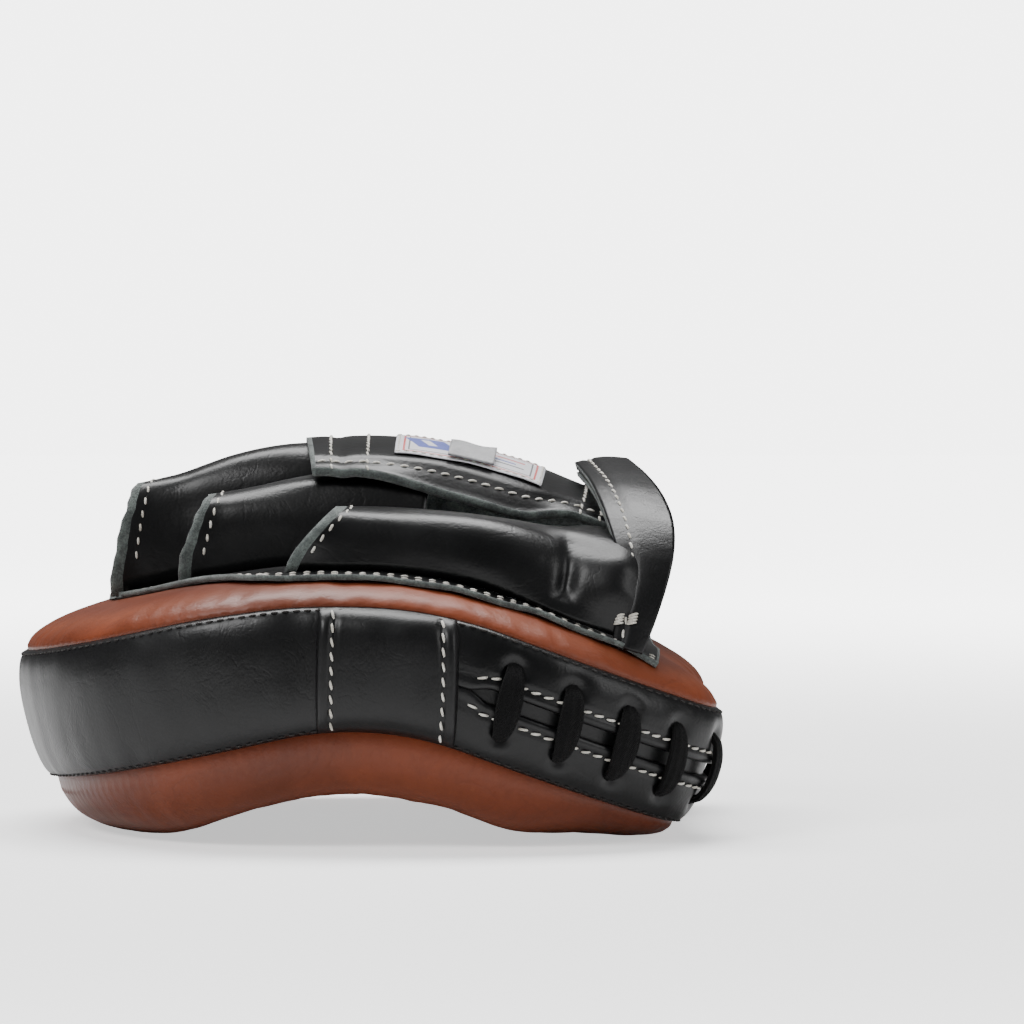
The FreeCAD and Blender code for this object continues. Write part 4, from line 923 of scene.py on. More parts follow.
def finger_gusset():
    """The wall round the finger end, from one side band to the other."""
    start = place_of_run(GUSSET_END, -1) - GIRTH
    places = np.linspace(start, place_of_run(GUSSET_END, 1), 420)
    wall_levels = np.linspace(-WALL_HALF, WALL_HALF, 46)
    levels = np.concatenate([[-WALL_HALF + 0.2], wall_levels, [WALL_HALF - 0.2]])
    proud = np.zeros(len(levels))
    proud[[0, -1]] = -2.5
    grid = wall_point(places[None], levels[:, None], proud[:, None], False)
    faces = [face[::-1] for face in grid_faces(*grid.shape[:2])]
    piece = make_piece("finger_end_wall", grid, faces, [black])
    wear = hump(np.abs(levels), 15, 3)
    mark(piece, "wear", np.broadcast_to(wear[:, None], grid.shape[:2]))
    return piece


FOLD = ((1.6, -3.4), (0.5, -2.6), (0.05, -1.5), (0.0, -0.6), (0.5, 0.25), (1.5, 0.6), (2.6, 0.45),
        (3.4, -0.15), (4.2, -0.2), (5.2, 0.15), (6.2, 0.1))


def wrist_gusset(name, sign):
    """One side of the laced wall, with its edge folded in along the slit."""
    places = np.linspace(place_of_run(GUSSET_END, 1), place_of_run(GUSSET_END, -1), 640)
    opening = slit_half_at(places)
    rows = []
    for step, proud in FOLD:
        fold_share = 0.25 + 0.75 * opening / SLIT_HALF
        rows.append(wall_point(places, sign * (opening + step), proud * fold_share))
    start = opening + FOLD[-1][0]
    for share in np.linspace(0, 1, 27)[1:]:
        level = start + (WALL_HALF - start) * share
        rows.append(wall_point(places, sign * level, 0.1 * (1 - share)))
    rows.append(wall_point(places, sign * (WALL_HALF - 0.2) * np.ones_like(places), -2.5))
    grid = np.array(rows)
    faces = grid_faces(*grid.shape[:2])
    if sign < 0:
        faces = [face[::-1] for face in faces]
    piece = make_piece(name, grid, faces, [black])
    wear = np.zeros(grid.shape[:2])
    wear[4:7] = 0.8
    mark(piece, "wear", wear)
    return piece


dress(finger_gusset(), "mitt", "black_leather", "finger_end_gusset")
dress(wrist_gusset("wrist_wall_back", 1), "mitt", "black_leather", "wrist_gusset_back")
dress(wrist_gusset("wrist_wall_face", -1), "mitt", "black_leather", "wrist_gusset_face")

slit_places = np.linspace(far_end + 5, near_end - 5, 500)
for sign in (-1, 1):
    level = sign * (slit_half_at(slit_places) + 3.8)
    sew_above(lambda lift: wall_point(slit_places, level, lift), 0.35)
seam_places = np.linspace(0, GIRTH, 1000)
for sign in (-1, 1):
    level = np.full(len(seam_places), sign * (WALL_HALF - 0.9))
    sew_above(lambda lift: wall_point(seam_places, level, lift, False), 0.25, "dark")

# %% [markdown]
# ## The side bands
# A padded band is sewn over the wall at each side of the bend, where the gussets meet. Its two ends
# are turned under, and a slanted row of stitches runs down just inside each.

# %% Bands
BAND_PROUD = 2.6


def band_surface(side):
    """The outer face of one band, by its shares along the mitt and up the wall."""
    def surface(u, v, lift=0.0):
        u, v = shares(u, v)
        level = (v * 2 - 1) * (WALL_HALF - 0.25)
        height = level / WALL_HALF
        start = -18.4 + 2.0 * height
        finish = 25.6 - 5.0 * height
        run = start + (finish - start) * u
        width = finish - start
        gap = np.minimum(u, 1 - u) * width
        fold = -1.0 * hump(gap, 4.6, 0.9) + 0.35 * hump(gap, 2.3, 1.2)
        rise = BAND_PROUD * smooth(gap, -0.9, 1.1) + 0.9 * smooth(gap, 6, 16) + fold
        rise = rise * (1 - np.abs(height) ** 8) - 2.4 * (1 - smooth(gap, -0.9, 0.15))
        place = place_of_run(run, side)
        return wall_point(place, level, rise + lift, False)
    return surface


for name, node, side in (("band_little_finger_side", "little_finger_side_band", -1),
                         ("band_thumb_side", "thumb_side_band", 1)):
    surface = band_surface(side)
    u = np.concatenate([[-0.02, -0.008], np.linspace(0, 1, 62), [1.008, 1.02]])
    v = np.concatenate([[0.0], np.linspace(0.012, 0.988, 42), [1.0]])
    grid = surface(u[None], v[:, None])
    faces = grid_faces(*grid.shape[:2])
    if side > 0:
        faces = [face[::-1] for face in faces]
    piece = make_piece(name, grid, faces, [black])
    wear = hump(np.minimum(u, 1 - u) * 44, 0, 2.5)
    mark(piece, "wear", np.broadcast_to(wear[None], grid.shape[:2]))
    dress(piece, "mitt", "black_leather", node)
    for share in (0.105, 0.895):
        v_row = np.linspace(0.05, 0.95, 40)
        sew_above(lambda lift: surface(share, v_row, lift), 0.3)

# %% [markdown]
# ## The target
# A white grained disc is sewn on the middle of the strike face with two rings of stitches. It is a
# round of leather laid on the curved face, so its rings are measured along that face.

# %% Target
PATCH_RADIUS = 42.0


def run_on_face(distance):
    """Run in the flat drawing for a distance along the hollow of the strike face."""
    tangent = math.tan(HALF_BEND)
    half_run = SOFT_RADIUS * tangent - FIRM_RADIUS * (tangent - HALF_BEND)
    reach = (SOFT_RADIUS - WALL_HALF - FACE_DEPTH) * HALF_BEND
    inside = np.clip(distance, -reach, reach)
    return inside * half_run / reach + distance - inside


def patch_surface(radius, turn, lift=0.0):
    """A point of the target's leather by its distance and direction from the middle."""
    run = run_on_face(radius * np.cos(turn))
    across = radius * np.sin(turn)
    swelling = 0.8 * smooth(PATCH_RADIUS - radius, 5, 16)
    swelling = swelling + 0.25 * np.sin(turn * 9) * smooth(radius, 10, 40)
    return bent(run, across, face_level(run) - 1.1 - swelling - lift)


turns = np.linspace(0, 2 * math.pi, 200, endpoint=False)
radii = np.concatenate([np.linspace(0, PATCH_RADIUS - 0.6, 40)[1:], [PATCH_RADIUS, PATCH_RADIUS + 0.1]])
lifts = np.concatenate([np.zeros(39), [-0.5, -1.9]])
grid = patch_surface(radii[:, None], turns[None], lifts[:, None])
grid = grid + ripple(grid, 0.009, 8.0)[..., None] * np.array([0, 0, 0.00025])
centre = patch_surface(np.zeros(1), np.zeros(1))
columns = len(turns)
faces = grid_faces(len(radii), columns, wrap=True, start=1)
faces += [(0, 1 + (column + 1) % columns, 1 + column) for column in range(columns)]
target = make_piece("target_disc", np.concatenate([centre, grid.reshape(-1, 3)]), faces, [white])
mark(target, "wear", np.concatenate([[0], np.repeat(smooth(radii, 36, 42), columns)]))
dress(target, "mitt", "white_leather", "target_patch")
for radius in (38.6, 34.4):
    turns = np.linspace(0, 2 * math.pi, 220)
    sew_above(lambda lift: patch_surface(radius, turns, lift), 0.15)

# %% [markdown]
# ## The glove base
# A leather sheet covers most of the back and carries the glove. Its cut edges show suede, and two
# rows of stitches follow them. It is a grid between a near and a far edge, laid a leather's
# thickness above the back cover.

# %% Glove base
BASE_RUNS = (-82.0, -79.5, -60.0, -33.0, -27.0, 22.0, 82.0)
BASE_NEAR = (-13.0, -17.0, -43.5, -82.0, -85.0, -86.0, -74.0)
BASE_FAR = (32.0, 37.0, 59.0, 84.5, 87.0, 88.0, 76.0)


def base_surface(u, v):
    """The base's grain side, by its shares along the mitt and across it."""
    u, v = shares(u, v)
    run = BASE_RUNS[0] + (BASE_RUNS[-1] - BASE_RUNS[0]) * u
    wave = 0.5 * np.sin(run / 5.3) + 0.4 * np.sin(run / 2.9 + 1)
    near = np.interp(run, BASE_RUNS, BASE_NEAR) + wave
    far = np.interp(run, BASE_RUNS, BASE_FAR) - wave
    across = near + (far - near) * v
    distance = inside_distance(np.stack([run, across], -1))
    rim = np.minimum(v * (far - near), (1 - v) * (far - near))
    curl = 0.7 * hump(rim, 0, 2.0) + 0.35 * np.sin(run / 4.1 + across / 9) * hump(rim, 0, 4)
    level = back_level(run, across, distance) + 2.0 + curl
    return bent(run, across, level)


u = spaced(174.0, 130)
v = spaced(150.0, 84)
base = leather_sheet("glove_base_leather", base_surface(u[:, None], v[None]), 1.7, grain_and_suede,
                     lip=1, inward=-1.0)
dress(base, "mitt", "black_leather", "glove_base")
BASE_WIDTH, BASE_TIP_WIDTH, BASE_KNUCKLE_WIDTH = 171, 80, 165
for inset in (2.6, 5.6):
    side = inset / BASE_WIDTH
    tip = inset / BASE_TIP_WIDTH
    knuckle = inset / BASE_KNUCKLE_WIDTH
    sew_on(base_surface, (0.32, side), (0.985, side), "cream", -0.15)
    sew_on(base_surface, (0.32, 1 - side), (0.985, 1 - side), "cream", -0.15)
    sew_on(base_surface, (0.02, tip), (0.31, knuckle), "cream", -0.15)
    sew_on(base_surface, (0.02, 1 - tip), (0.31, 1 - knuckle), "cream", -0.15)

# %% [markdown]
# ## The finger sleeves
# Each finger slips into a leather tunnel that stands on the base. The little finger's tunnel runs
# back and rises to the cuff. Its mouth is cut on a slant, hemmed with one row of stitches, and shows
# the suede. A tunnel is a grid along the finger and over it, with soft folds from noise.

# %% Sleeves
TUNNEL_FOOT = BASE_TOP - 0.6


def rounded(turn):
    """Shares across and up a tunnel's full, nearly square section."""
    return (-np.sign(np.cos(turn)) * np.abs(np.cos(turn)) ** 0.72,
            np.abs(np.sin(turn)) ** 0.66)


def tunnel(centre, width, height, start, finish, setback, seed, growth):
    """A finger tunnel's outer face, by its shares along the finger and over it.

    Its mouth is flared, set back over the top and a little ragged, and it grows towards the panel."""
    def surface(u, v):
        u, v = shares(u, v)
        turn = math.pi * np.clip(v, 0, 1)
        rise = np.sin(turn)
        side, up = rounded(turn)
        begin = start + setback * rise ** 0.8
        run = begin + (finish - begin) * u
        mouth = hump(run, begin, 4)
        flare = 1 + 0.13 * mouth
        high = height * (1 + growth * smooth(u, 0.2, 0.85)) * up
        across = centre + width / 2 * flare * side
        plain = np.stack([run, across, high], -1) * MM
        fold = ripple(plain * [0.55, 1, 1], 0.011, seed) * 1.0 + ripple(plain, 0.026, seed + 1) * 1.6
        ragged = ripple(np.stack([run * 0, across, high], -1) * MM, 0.004, seed + 2) * mouth
        run = run - 2.5 * mouth * np.abs(np.cos(turn)) + ragged * 1.2
        push = fold * np.abs(rise) ** 0.4
        level = TUNNEL_FOOT + high + push * np.abs(rise)
        return bent(run, across + push * side, level)
    return surface


SLEEVES = (
    ("ring_finger_tunnel", "ring_finger_sleeve", -31.5, 27.0, 26.5, -55.0, 8.0, 13.0, 12.0, 0.16),
    ("middle_finger_tunnel", "middle_finger_sleeve", -4.0, 27.0, 34.5, -79.0, -12.0, 14.0, 14.0, 0.13),
    ("index_finger_tunnel", "index_finger_sleeve", 23.0, 27.0, 31.0, -69.0, -10.0, 10.0, 16.0, 0.10),
)
for name, node, centre, width, height, start, finish, setback, seed, growth in SLEEVES:
    surface = tunnel(centre, width, height, start, finish, setback, seed, growth)
    u = np.concatenate([[0, 1.6, 3.0], np.linspace(3.9, finish - start, 44)]) / (finish - start)
    v = np.linspace(0, 1, 50)
    sleeve = leather_sheet(name, surface(u[:, None], v[None]), 1.6, grain_and_suede,
                           inward=-1.0, raw_rows=2)
    mark(sleeve, "wear", np.tile(np.repeat(hump(u * 50, 0, 3), len(v)), 2))
    dress(sleeve, "mitt", "black_leather", node)
    sew_on(surface, (0.085, 0.06), (0.085, 0.94), "cream", -0.1)

# %% Little finger's tunnel
def little_surface(u, v):
    """The little finger's tunnel, which opens out into the glove's side towards the cuff."""
    u, v = shares(u, v)
    turn = math.pi * np.clip(v, 0, 1)
    rise = np.sin(turn)
    side, up = rounded(turn)
    begin = -25.0 + 13.0 * rise ** 0.8
    finish = 75.0 - 17.0 * v
    run = begin + (finish - begin) * u
    opened = smooth(run, 8, 52)
    flare = 1 + 0.10 * hump(run, begin, 5)
    closed_y = -60.5 + 15.0 * flare * side
    closed_z = (19.0 + 3.0 * smooth(run, 0, 40)) * up
    quarter = math.pi / 2 * np.clip(v, 0, 1)
    open_y = -76.0 + 4.0 * smooth(run, 50, 76) + 40.0 * (1 - np.cos(quarter)) ** 1.15
    open_z = (29.0 + 1.5 * smooth(run, 40, 66)) * np.sin(quarter) ** 0.80
    across = closed_y * (1 - opened) + open_y * opened
    high = closed_z * (1 - opened) + open_z * opened
    plain = np.stack([run, across, high], -1) * MM
    held = np.clip(high / 6, 0, 1)
    fold = ripple(plain * [0.6, 1, 1], 0.012, 21.0) * 1.3 + ripple(plain, 0.028, 22.0) * 2.2
    deep = hump(run - 50 + high * 0.30, 0, 3.0) * smooth(high, 2, 11) * (1 - smooth(high, 16, 28))
    slight = hump(run - 44 - high * 0.15, 0, 2.4) * smooth(high, 1, 8) * (1 - smooth(high, 9, 20))
    plump = 2.8 * hump(run, 62, 9) * smooth(high, 2, 14)
    push = (fold - 2.0 * deep - 0.9 * slight + plump) * held
    across = across - push * (0.75 * opened + 0.25)
    return bent(run, across, TUNNEL_FOOT + high + push * 0.55 * held)


u = np.concatenate([[0, 1.6, 3.2], np.linspace(4.1, 100.0, 108)]) / 100
v = np.linspace(0, 1, 60)
little = leather_sheet("little_finger_tunnel", little_surface(u[:, None], v[None]), 1.6,
                       grain_and_suede, inward=-1.0, raw_rows=2)
mark(little, "wear", np.tile(np.repeat(hump(u * 100, 0, 3), len(v)), 2))
dress(little, "mitt", "black_leather", "little_finger_sleeve")
sew_on(little_surface, (0.045, 0.06), (0.045, 0.94), "cream", -0.1)

# %% Thumb's tunnel
THUMB_TURN = math.tan(math.radians(12))


def thumb_surface(u, v):
    """The thumb's tunnel, turned outwards on the wrist end."""
    u, v = shares(u, v)
    turn = math.pi * np.clip(v, 0, 1)
    rise = np.sin(turn)
    side, up = rounded(turn)
    run = 30.0 + 7.0 * rise * (1 - u) + 45.0 * u
    middle = 71.0 + (52.7 - run) * THUMB_TURN
    across = middle + 13.5 * side
    high = 25.0 * up
    fold = ripple(np.stack([run, across, high], -1) * MM, 0.016, 31.0) * 1.4
    return bent(run, across + fold * side, TUNNEL_FOOT + high + fold * rise)


u = spaced(46.0, 40)
v = np.linspace(0, 1, 50)
thumb = leather_sheet("thumb_tunnel", thumb_surface(u[:, None], v[None]), 1.5, grain_and_suede,
                      inward=-1.0)
dress(thumb, "mitt", "black_leather", "thumb_sleeve")
for share in (0.07, 0.93):
    sew_on(thumb_surface, (share, 0.06), (share, 0.94), "cream", -0.1)

# %% [markdown]
# ## The panel over the hand
# A padded panel covers the back of the hand. Its finger edge is folded over and sewn twice, its other
# edges are raw, and the label is sewn on it. It is one thick sheet on a shallow vault, a little
# quilted between its rows of stitches.

# %% Hand panel
PANEL_START, PANEL_FINISH = -18.0, 53.0
PANEL_NEAR, PANEL_FAR = -46.0, 43.0
PANEL_TOP = BASE_TOP + 39.0
PANEL_LENGTH, PANEL_WIDTH = 71.0, 88.0


def vault(across):
    """Level of the panel over a place across the mitt."""
    return PANEL_TOP + 0.2 - 8.0 * (across / 43.0) ** 2


def panel_surface(u, v):
    """The panel's grain side, by its shares from its finger edge and from its near edge.

    It is quilted beside its stitches, lies flat under the label and droops along its near edge."""
    u, v = shares(u, v)
    run = PANEL_START + (PANEL_FINISH - PANEL_START) * u
    run = run + 2.5 * (1 - v) * (1 - u) - 4 * np.maximum(v - 0.5, 0) * u
    sweep = 3.0 * (1 - smooth(u, 0.0, 0.3)) + 6.5 * smooth(u, 0.55, 0.95)
    near = PANEL_NEAR + sweep + 0.5 * np.sin(run / 4.7)
    across = near + (PANEL_FAR - near) * v
    rim = np.minimum(np.minimum(v, 1 - v) * PANEL_WIDTH, np.minimum(u, 1 - u) * PANEL_LENGTH)
    quilt = -0.7 * hump(v * PANEL_WIDTH, 5.5, 1.4) - 0.6 * hump(u * PANEL_LENGTH, 6, 1.4)
    plain = np.stack([run, across, 0 * run], -1) * MM
    folds = ripple(plain, 0.024, 41.0) * 0.9 * smooth(rim, 2, 10)
    under_label = smooth(run, -3, 1) * (1 - smooth(run, 50, 54))
    under_label = under_label * smooth(across, -38, -34) * (1 - smooth(across, -8, -4))
    level = vault(across) + quilt + folds * (1 - under_label) - 0.3
    droop = 1.6 + 4.5 * smooth(u, 0.12, 0.42) * (1 - smooth(u, 0.55, 0.85))
    level = level - droop * hump(v * PANEL_WIDTH, 0, 5.0)
    return bent(run, across, level, FIRM_RADIUS)


u = spaced(PANEL_LENGTH, 76)
v = spaced(PANEL_WIDTH, 80, 1.3)
panel = leather_sheet("hand_panel_leather", panel_surface(u[:, None], v[None]), 2.6, grain_and_suede,
                      lip=1, inward=-1.0)
dress(panel, "mitt", "black_leather", "hand_back_panel", "hand_back_padding")
for first, last in (((0.03, 0.062), (0.97, 0.062)),
                    ((0.055, 0.02), (0.075, 0.98)),
                    ((0.155, 0.02), (0.175, 0.98)),
                    ((0.03, 0.965), (0.97, 0.965)),
                    ((0.86, 0.02), (0.86, 0.98)),
                    ((0.955, 0.02), (0.955, 0.98))):
    sew_on(panel_surface, first, last, "cream", 0.1)

# %% Wall beside the thumb
def thumb_wall_surface(u, v):
    """The wall from the panel's thumb edge down to the base."""
    u, v = shares(u, v)
    run = -16.5 + 72.0 * u
    folds = ripple(np.stack([run, v * 30, 0 * run], -1) * MM, 0.02, 51.0) * 1.2
    belly = 3.0 * np.sin(math.pi * v) + folds
    across = 43.6 + 8.0 * v ** 0.8 + belly
    top = vault(43.0) + 0.4
    level = top + (BASE_TOP - 0.5 - top) * v
    return bent(run, across, level, FIRM_RADIUS)


u = spaced(72, 60)
v = np.linspace(0, 1, 34)
thumb_wall = leather_sheet("thumb_side_leather", thumb_wall_surface(u[:, None], v[None]), 1.5,
                           grain_and_suede, inward=-1.0)
dress(thumb_wall, "mitt", "black_leather", "thumb_side_panel")
sew_on(thumb_wall_surface, (0.03, 0.94), (0.97, 0.94), "cream", 0.1)
sew_on(thumb_wall_surface, (0.03, 0.07), (0.03, 0.93), "cream", 0.1)

# %% [markdown]
# ## The cuff
# A narrow folded band arches over the wrist opening, with a row of stitches along its inner edge, a
# thick bar of thread at each foot, and a suede lining behind it. Two edge lines give the band its
# place and lean, and a rounded section is swept between them.

# %% Cuff
CUFF_OUTER = ((-75.5, 85.5, 57.0), (-75.0, 90.5, 68.0), (-69.0, 97.0, 88.5), (-56.0, 97.5, 100.0),
              (-42.0, 94.5, 108.0), (-26.0, 89.5, 114.6), (0.0, 82.5, 119.8))
CUFF_INNER = ((-75.0, 76.5, 59.5), (-74.5, 78.5, 71.0), (-69.5, 80.0, 86.0), (-58.0, 77.0, 98.5),
              (-42.0, 73.5, 107.5), (-26.0, 70.5, 113.5), (0.0, 66.0, 118.0))
CUFF_SEAM = 0.27


def edge_line(points, share):
    """A smooth line through the near half's points, mirrored to the thumb side."""
    half = np.array(points)
    whole = np.concatenate([half, half[::-1][1:] * [-1, 1, 1]])
    steps = np.concatenate([[0], np.cumsum(np.linalg.norm(np.diff(whole, axis=0), axis=1))])
    where = np.clip(share, 0, 1) * steps[-1]
    spread = steps[-1] * 0.03
    total = 0
    for shift, weight in ((-1.5, 0.12), (-0.75, 0.22), (0, 0.32), (0.75, 0.22), (1.5, 0.12)):
        at = np.clip(where + shift * spread, 0, steps[-1])
        point = np.stack([np.interp(at, steps, whole[:, axis]) for axis in range(3)], -1)
        total = total + weight * point
    return total[..., [1, 0, 2]] * MM


def cuff_surface(u, v, lift=0.0):
    """The band's outer face, by its shares over the wrist and from its inner to its outer edge."""
    u, v = shares(u, v)
    inner, outer = edge_line(CUFF_INNER, u), edge_line(CUFF_OUTER, u)
    middle = np.array([0.078, 0.0, 0.055])
    out = (inner + outer) / 2 - middle
    out /= np.linalg.norm(out, axis=-1)[..., None]
    puff = 1.1 * np.sin(math.pi * np.clip(v, 0, 1)) - 0.6 * hump(v, CUFF_SEAM, 0.07)
    puff = puff + ripple(np.stack([u * 0.2, v * 0.01, 0 * u], -1), 0.012, 61.0) * 0.35 + lift
    return inner + (outer - inner) * v[..., None] + out * puff[..., None] * MM


def cuff_sewn(u, v):
    """The band's outer face walked the other way, so that its stitches stand outwards."""
    return cuff_surface(1 - np.asarray(u), v)


def lining_surface(u, v):
    """Suede lining, set inside the band and a little narrower."""
    u, v = shares(u, v)
    return cuff_surface(u, 0.03 + v * 0.92, -3.4)


u = np.linspace(0, 1, 150)
v = np.linspace(0, 1, 20)
cuff = leather_sheet("cuff_band_leather", cuff_surface(u[:, None], v[None]), 2.4, grain_and_suede)
dress(cuff, "mitt", "black_leather", "cuff_band")
u = np.linspace(0.01, 0.99, 120)
v = np.linspace(0, 1, 14)
lining = leather_sheet("cuff_suede_lining", lining_surface(u[:, None], v[None]), 1.3, [suede, suede])
dress(lining, "mitt", "grey_suede", "cuff_lining")
sew_on(cuff_sewn, (0.03, CUFF_SEAM), (0.97, CUFF_SEAM), "cream", 0.1)
TACKS = 4
for foot, step in ((0.045, 0.004), (0.955, -0.004)):
    for index in range(TACKS):
        share = foot + step * index
        sew_on(cuff_sewn, (share, 0.10), (share + step, 0.42), "cream", 0.5, count=2)

# %% [markdown]
# ## Label and size tag
# The woven label is a thin cloth sewn flat on the panel. The grey satin tag is a folded ribbon sewn at
# the panel's near edge, and it lifts on its hinge, so it rides on its own body.

# %% Label
LABEL_LENGTH, LABEL_WIDTH = 49.0, 28.0
LABEL_NEAR, LABEL_START = -35.0, 0.0


def label_surface(u, v):
    """The label's upper face, measured along the vault so that the cloth keeps its flat length."""
    u, v = shares(u, v)
    top = FIRM_RADIUS + vault(-21.0)
    turned = top * HALF_BEND
    distance = LABEL_START + LABEL_LENGTH * u
    run = np.where(distance < turned, distance * FIRM_RADIUS / top, BEND_END + distance - turned)
    across = LABEL_NEAR + LABEL_WIDTH * v
    wave = 0.14 * np.sin(distance / 3.1) * hump(np.minimum(v, 1 - v) * LABEL_WIDTH, 0, 4)
    return bent(run, across, vault(across) + 0.55 + wave, FIRM_RADIUS)


def cloth_sheet(name, surface, columns, rows, thickness, material):
    """A thin woven sheet with UVs from 0 to 1."""
    u, v = np.linspace(0, 1, columns), np.linspace(0, 1, rows)
    sheet = leather_sheet(name, surface(u[:, None], v[None]), thickness, [material, material],
                          inward=-1.0)
    layer = sheet.data.uv_layers.new(name="UVMap")
    count = columns * rows
    for loop in sheet.data.loops:
        index = loop.vertex_index % count
        layer.data[loop.index].uv = (u[index // rows], v[index % rows])
    return sheet


label = cloth_sheet("woven_label_cloth", label_surface, 60, 36, 0.35, label_cloth)
dress(label, "mitt", "woven_label", "woven_label")
for first, last in (((0.02, 0.05), (0.98, 0.05)), ((0.98, 0.05), (0.98, 0.95)),
                    ((0.98, 0.95), (0.02, 0.95)), ((0.02, 0.95), (0.02, 0.05))):
    sew_on(label_surface, first, last, "small", 0.1)

# %% Size tag
TAG_LENGTH, TAG_WIDTH = 15.0, 17.0
axis = Vector(hinge["axis"]).normalized()
pin = Vector(hinge["pos_m"])
low_corner, high_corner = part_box("size_tag")
reach = (low_corner + high_corner) / 2 - pin
reach = (reach - axis * reach.dot(axis)).normalized()
off = axis.cross(reach).normalized()


def tag_surface(u, v):
    """The tag's upper face: along its seam and out from it, with the slight wave of a ribbon."""
    u, v = shares(u, v)
    wave = 0.35 * np.sin(v * 5.2 + u * 1.5) * v + 0.3 * np.sin(u * 7) * v * v
    height = (1.1 + wave) * MM
    place = np.array(pin) + np.array(axis) * ((u - 0.5) * TAG_LENGTH * MM)[..., None]
    place = place + np.array(reach) * (v * TAG_WIDTH * MM)[..., None]
    return place + np.array(off) * height[..., None]


tag = cloth_sheet("size_tag_ribbon", tag_surface, 24, 30, 0.7, satin)
dress(tag, "size_tag", "satin_tag", "size_tag")

# %% [markdown]
# ## The lace
# Fifteen bars of flat black cotton lace cross the slit, each from a hole in one gusset to a hole in the
# other. A bar bows out over the wall and narrows where it dives in. Its section is swept along its
# line with shallow ribs, and UVs that follow it carry the plait.

# %% Lace bars
BAR_STEPS, BAR_SIDES = 22, 30


def lace_bar(run, seed):
    """One bar, as rings of points round its line."""
    share = np.linspace(-1.22, 1.22, BAR_STEPS)
    place = near_end - (run + share * LACE_LEAN)
    level = share * LACE_SPAN
    bow = 2.3 * np.clip(1 - np.abs(share) ** 2.4, 0, 1) - 3.6 * smooth(np.abs(share), 0.86, 1.22)
    wobble = 0.35 * math.sin(seed * 2.1)
    flat = along_outline(place + wobble * share, swell(level) + bow)
    line = bent(flat[:, 0], flat[:, 1], level)
    beyond = along_outline(place + wobble * share, swell(level) + bow + 1)
    out = bent(beyond[:, 0], beyond[:, 1], level) - line
    ahead = np.gradient(line, axis=0)
    ahead /= np.linalg.norm(ahead, axis=1)[:, None]
    out -= ahead * (out * ahead).sum(1)[:, None]
    out /= np.linalg.norm(out, axis=1)[:, None]
    side = np.cross(ahead, out)
    half_width = 1.9 + (1.9 + 0.25 * math.sin(seed * 3.7)) * np.clip(1 - np.abs(share / 1.15) ** 2.2, 0, 1)
    half_thick = 1.15
    turn = np.linspace(0, 2 * math.pi, BAR_SIDES, endpoint=False)
    rib = 1 + 0.10 * np.cos(turn * 7)[None]
    twist = 0.14 * math.sin(seed * 1.3) * share[:, None]
    wide = np.cos(turn)[None] * half_width[:, None] * rib
    thick = np.sign(np.sin(turn))[None] * np.abs(np.sin(turn)[None]) ** 0.7 * half_thick * rib
    turned_wide = wide * np.cos(twist) - thick * np.sin(twist)
    turned_thick = wide * np.sin(twist) + thick * np.cos(twist)
    return (line[:, None] + side[:, None] * turned_wide[..., None] * MM
            + out[:, None] * turned_thick[..., None] * MM)


points, faces = [], []
for index, run in enumerate(bar_runs):
    ring = lace_bar(run, float(index))
    start = len(points)
    points += list(ring.reshape(-1, 3))
    faces += grid_faces(BAR_STEPS, BAR_SIDES, wrap=True, start=start)
    faces.append(tuple(range(start + BAR_SIDES - 1, start - 1, -1)))
    last = start + (BAR_STEPS - 1) * BAR_SIDES
    faces.append(tuple(range(last, last + BAR_SIDES)))
bars = make_piece("lace_bars", points, faces, [lace_cotton])
layer = bars.data.uv_layers.new(name="UVMap")
for polygon in bars.data.polygons:
    first = min(bars.data.loops[index].vertex_index % BAR_SIDES for index in polygon.loop_indices)
    for index in polygon.loop_indices:
        vertex = bars.data.loops[index].vertex_index
        column = vertex % BAR_SIDES
        if first == 0 and column == BAR_SIDES - 1:
            column = -1
        ring = vertex // BAR_SIDES
        along = (ring % BAR_STEPS) / BAR_STEPS * 3 + ring // BAR_STEPS * 0.37
        layer.data[index].uv = (column / BAR_SIDES * 3, along)
dress(bars, "mitt", "black_cotton_lace", "lace")

# %% Lace knot
KNOT_STEPS, KNOT_SIDES = 90, 12
low_corner, high_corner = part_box("lace_knot")
knot_centre = np.array((low_corner + high_corner) / 2)
turn = np.linspace(0, 2 * math.pi, KNOT_STEPS, endpoint=False)
loop = np.stack([(2.0 + np.cos(3 * turn)) * np.cos(2 * turn) * 1.35, np.sin(3 * turn) * 0.8,
                 (2.0 + np.cos(3 * turn)) * np.sin(2 * turn) * 1.15], -1) * MM + knot_centre
ahead = np.roll(loop, -1, 0) - np.roll(loop, 1, 0)
ahead /= np.linalg.norm(ahead, axis=1)[:, None]
first_side = np.cross(ahead, [0.3, 0.9, 0.2])
first_side /= np.linalg.norm(first_side, axis=1)[:, None]
second_side = np.cross(ahead, first_side)
ring = np.linspace(0, 2 * math.pi, KNOT_SIDES, endpoint=False)
tube = loop[:, None] + (first_side[:, None] * np.cos(ring)[None, :, None]
                        + second_side[:, None] * np.sin(ring)[None, :, None]) * 0.85 * MM
faces = [tuple(index % (KNOT_STEPS * KNOT_SIDES) for index in face)
         for face in grid_faces(KNOT_STEPS + 1, KNOT_SIDES, wrap=True)]
knot = make_piece("lace_knot_cotton", tube, faces, [lace_cotton])
dress(knot, "mitt", "black_cotton_lace", "lace_knot")

# %% Welt behind the slit
welt = frame["nodes"]["lacing_welt"]
welt.data.materials.clear()
welt.data.materials.append(black)
print("welt", welt.name, "in black leather")

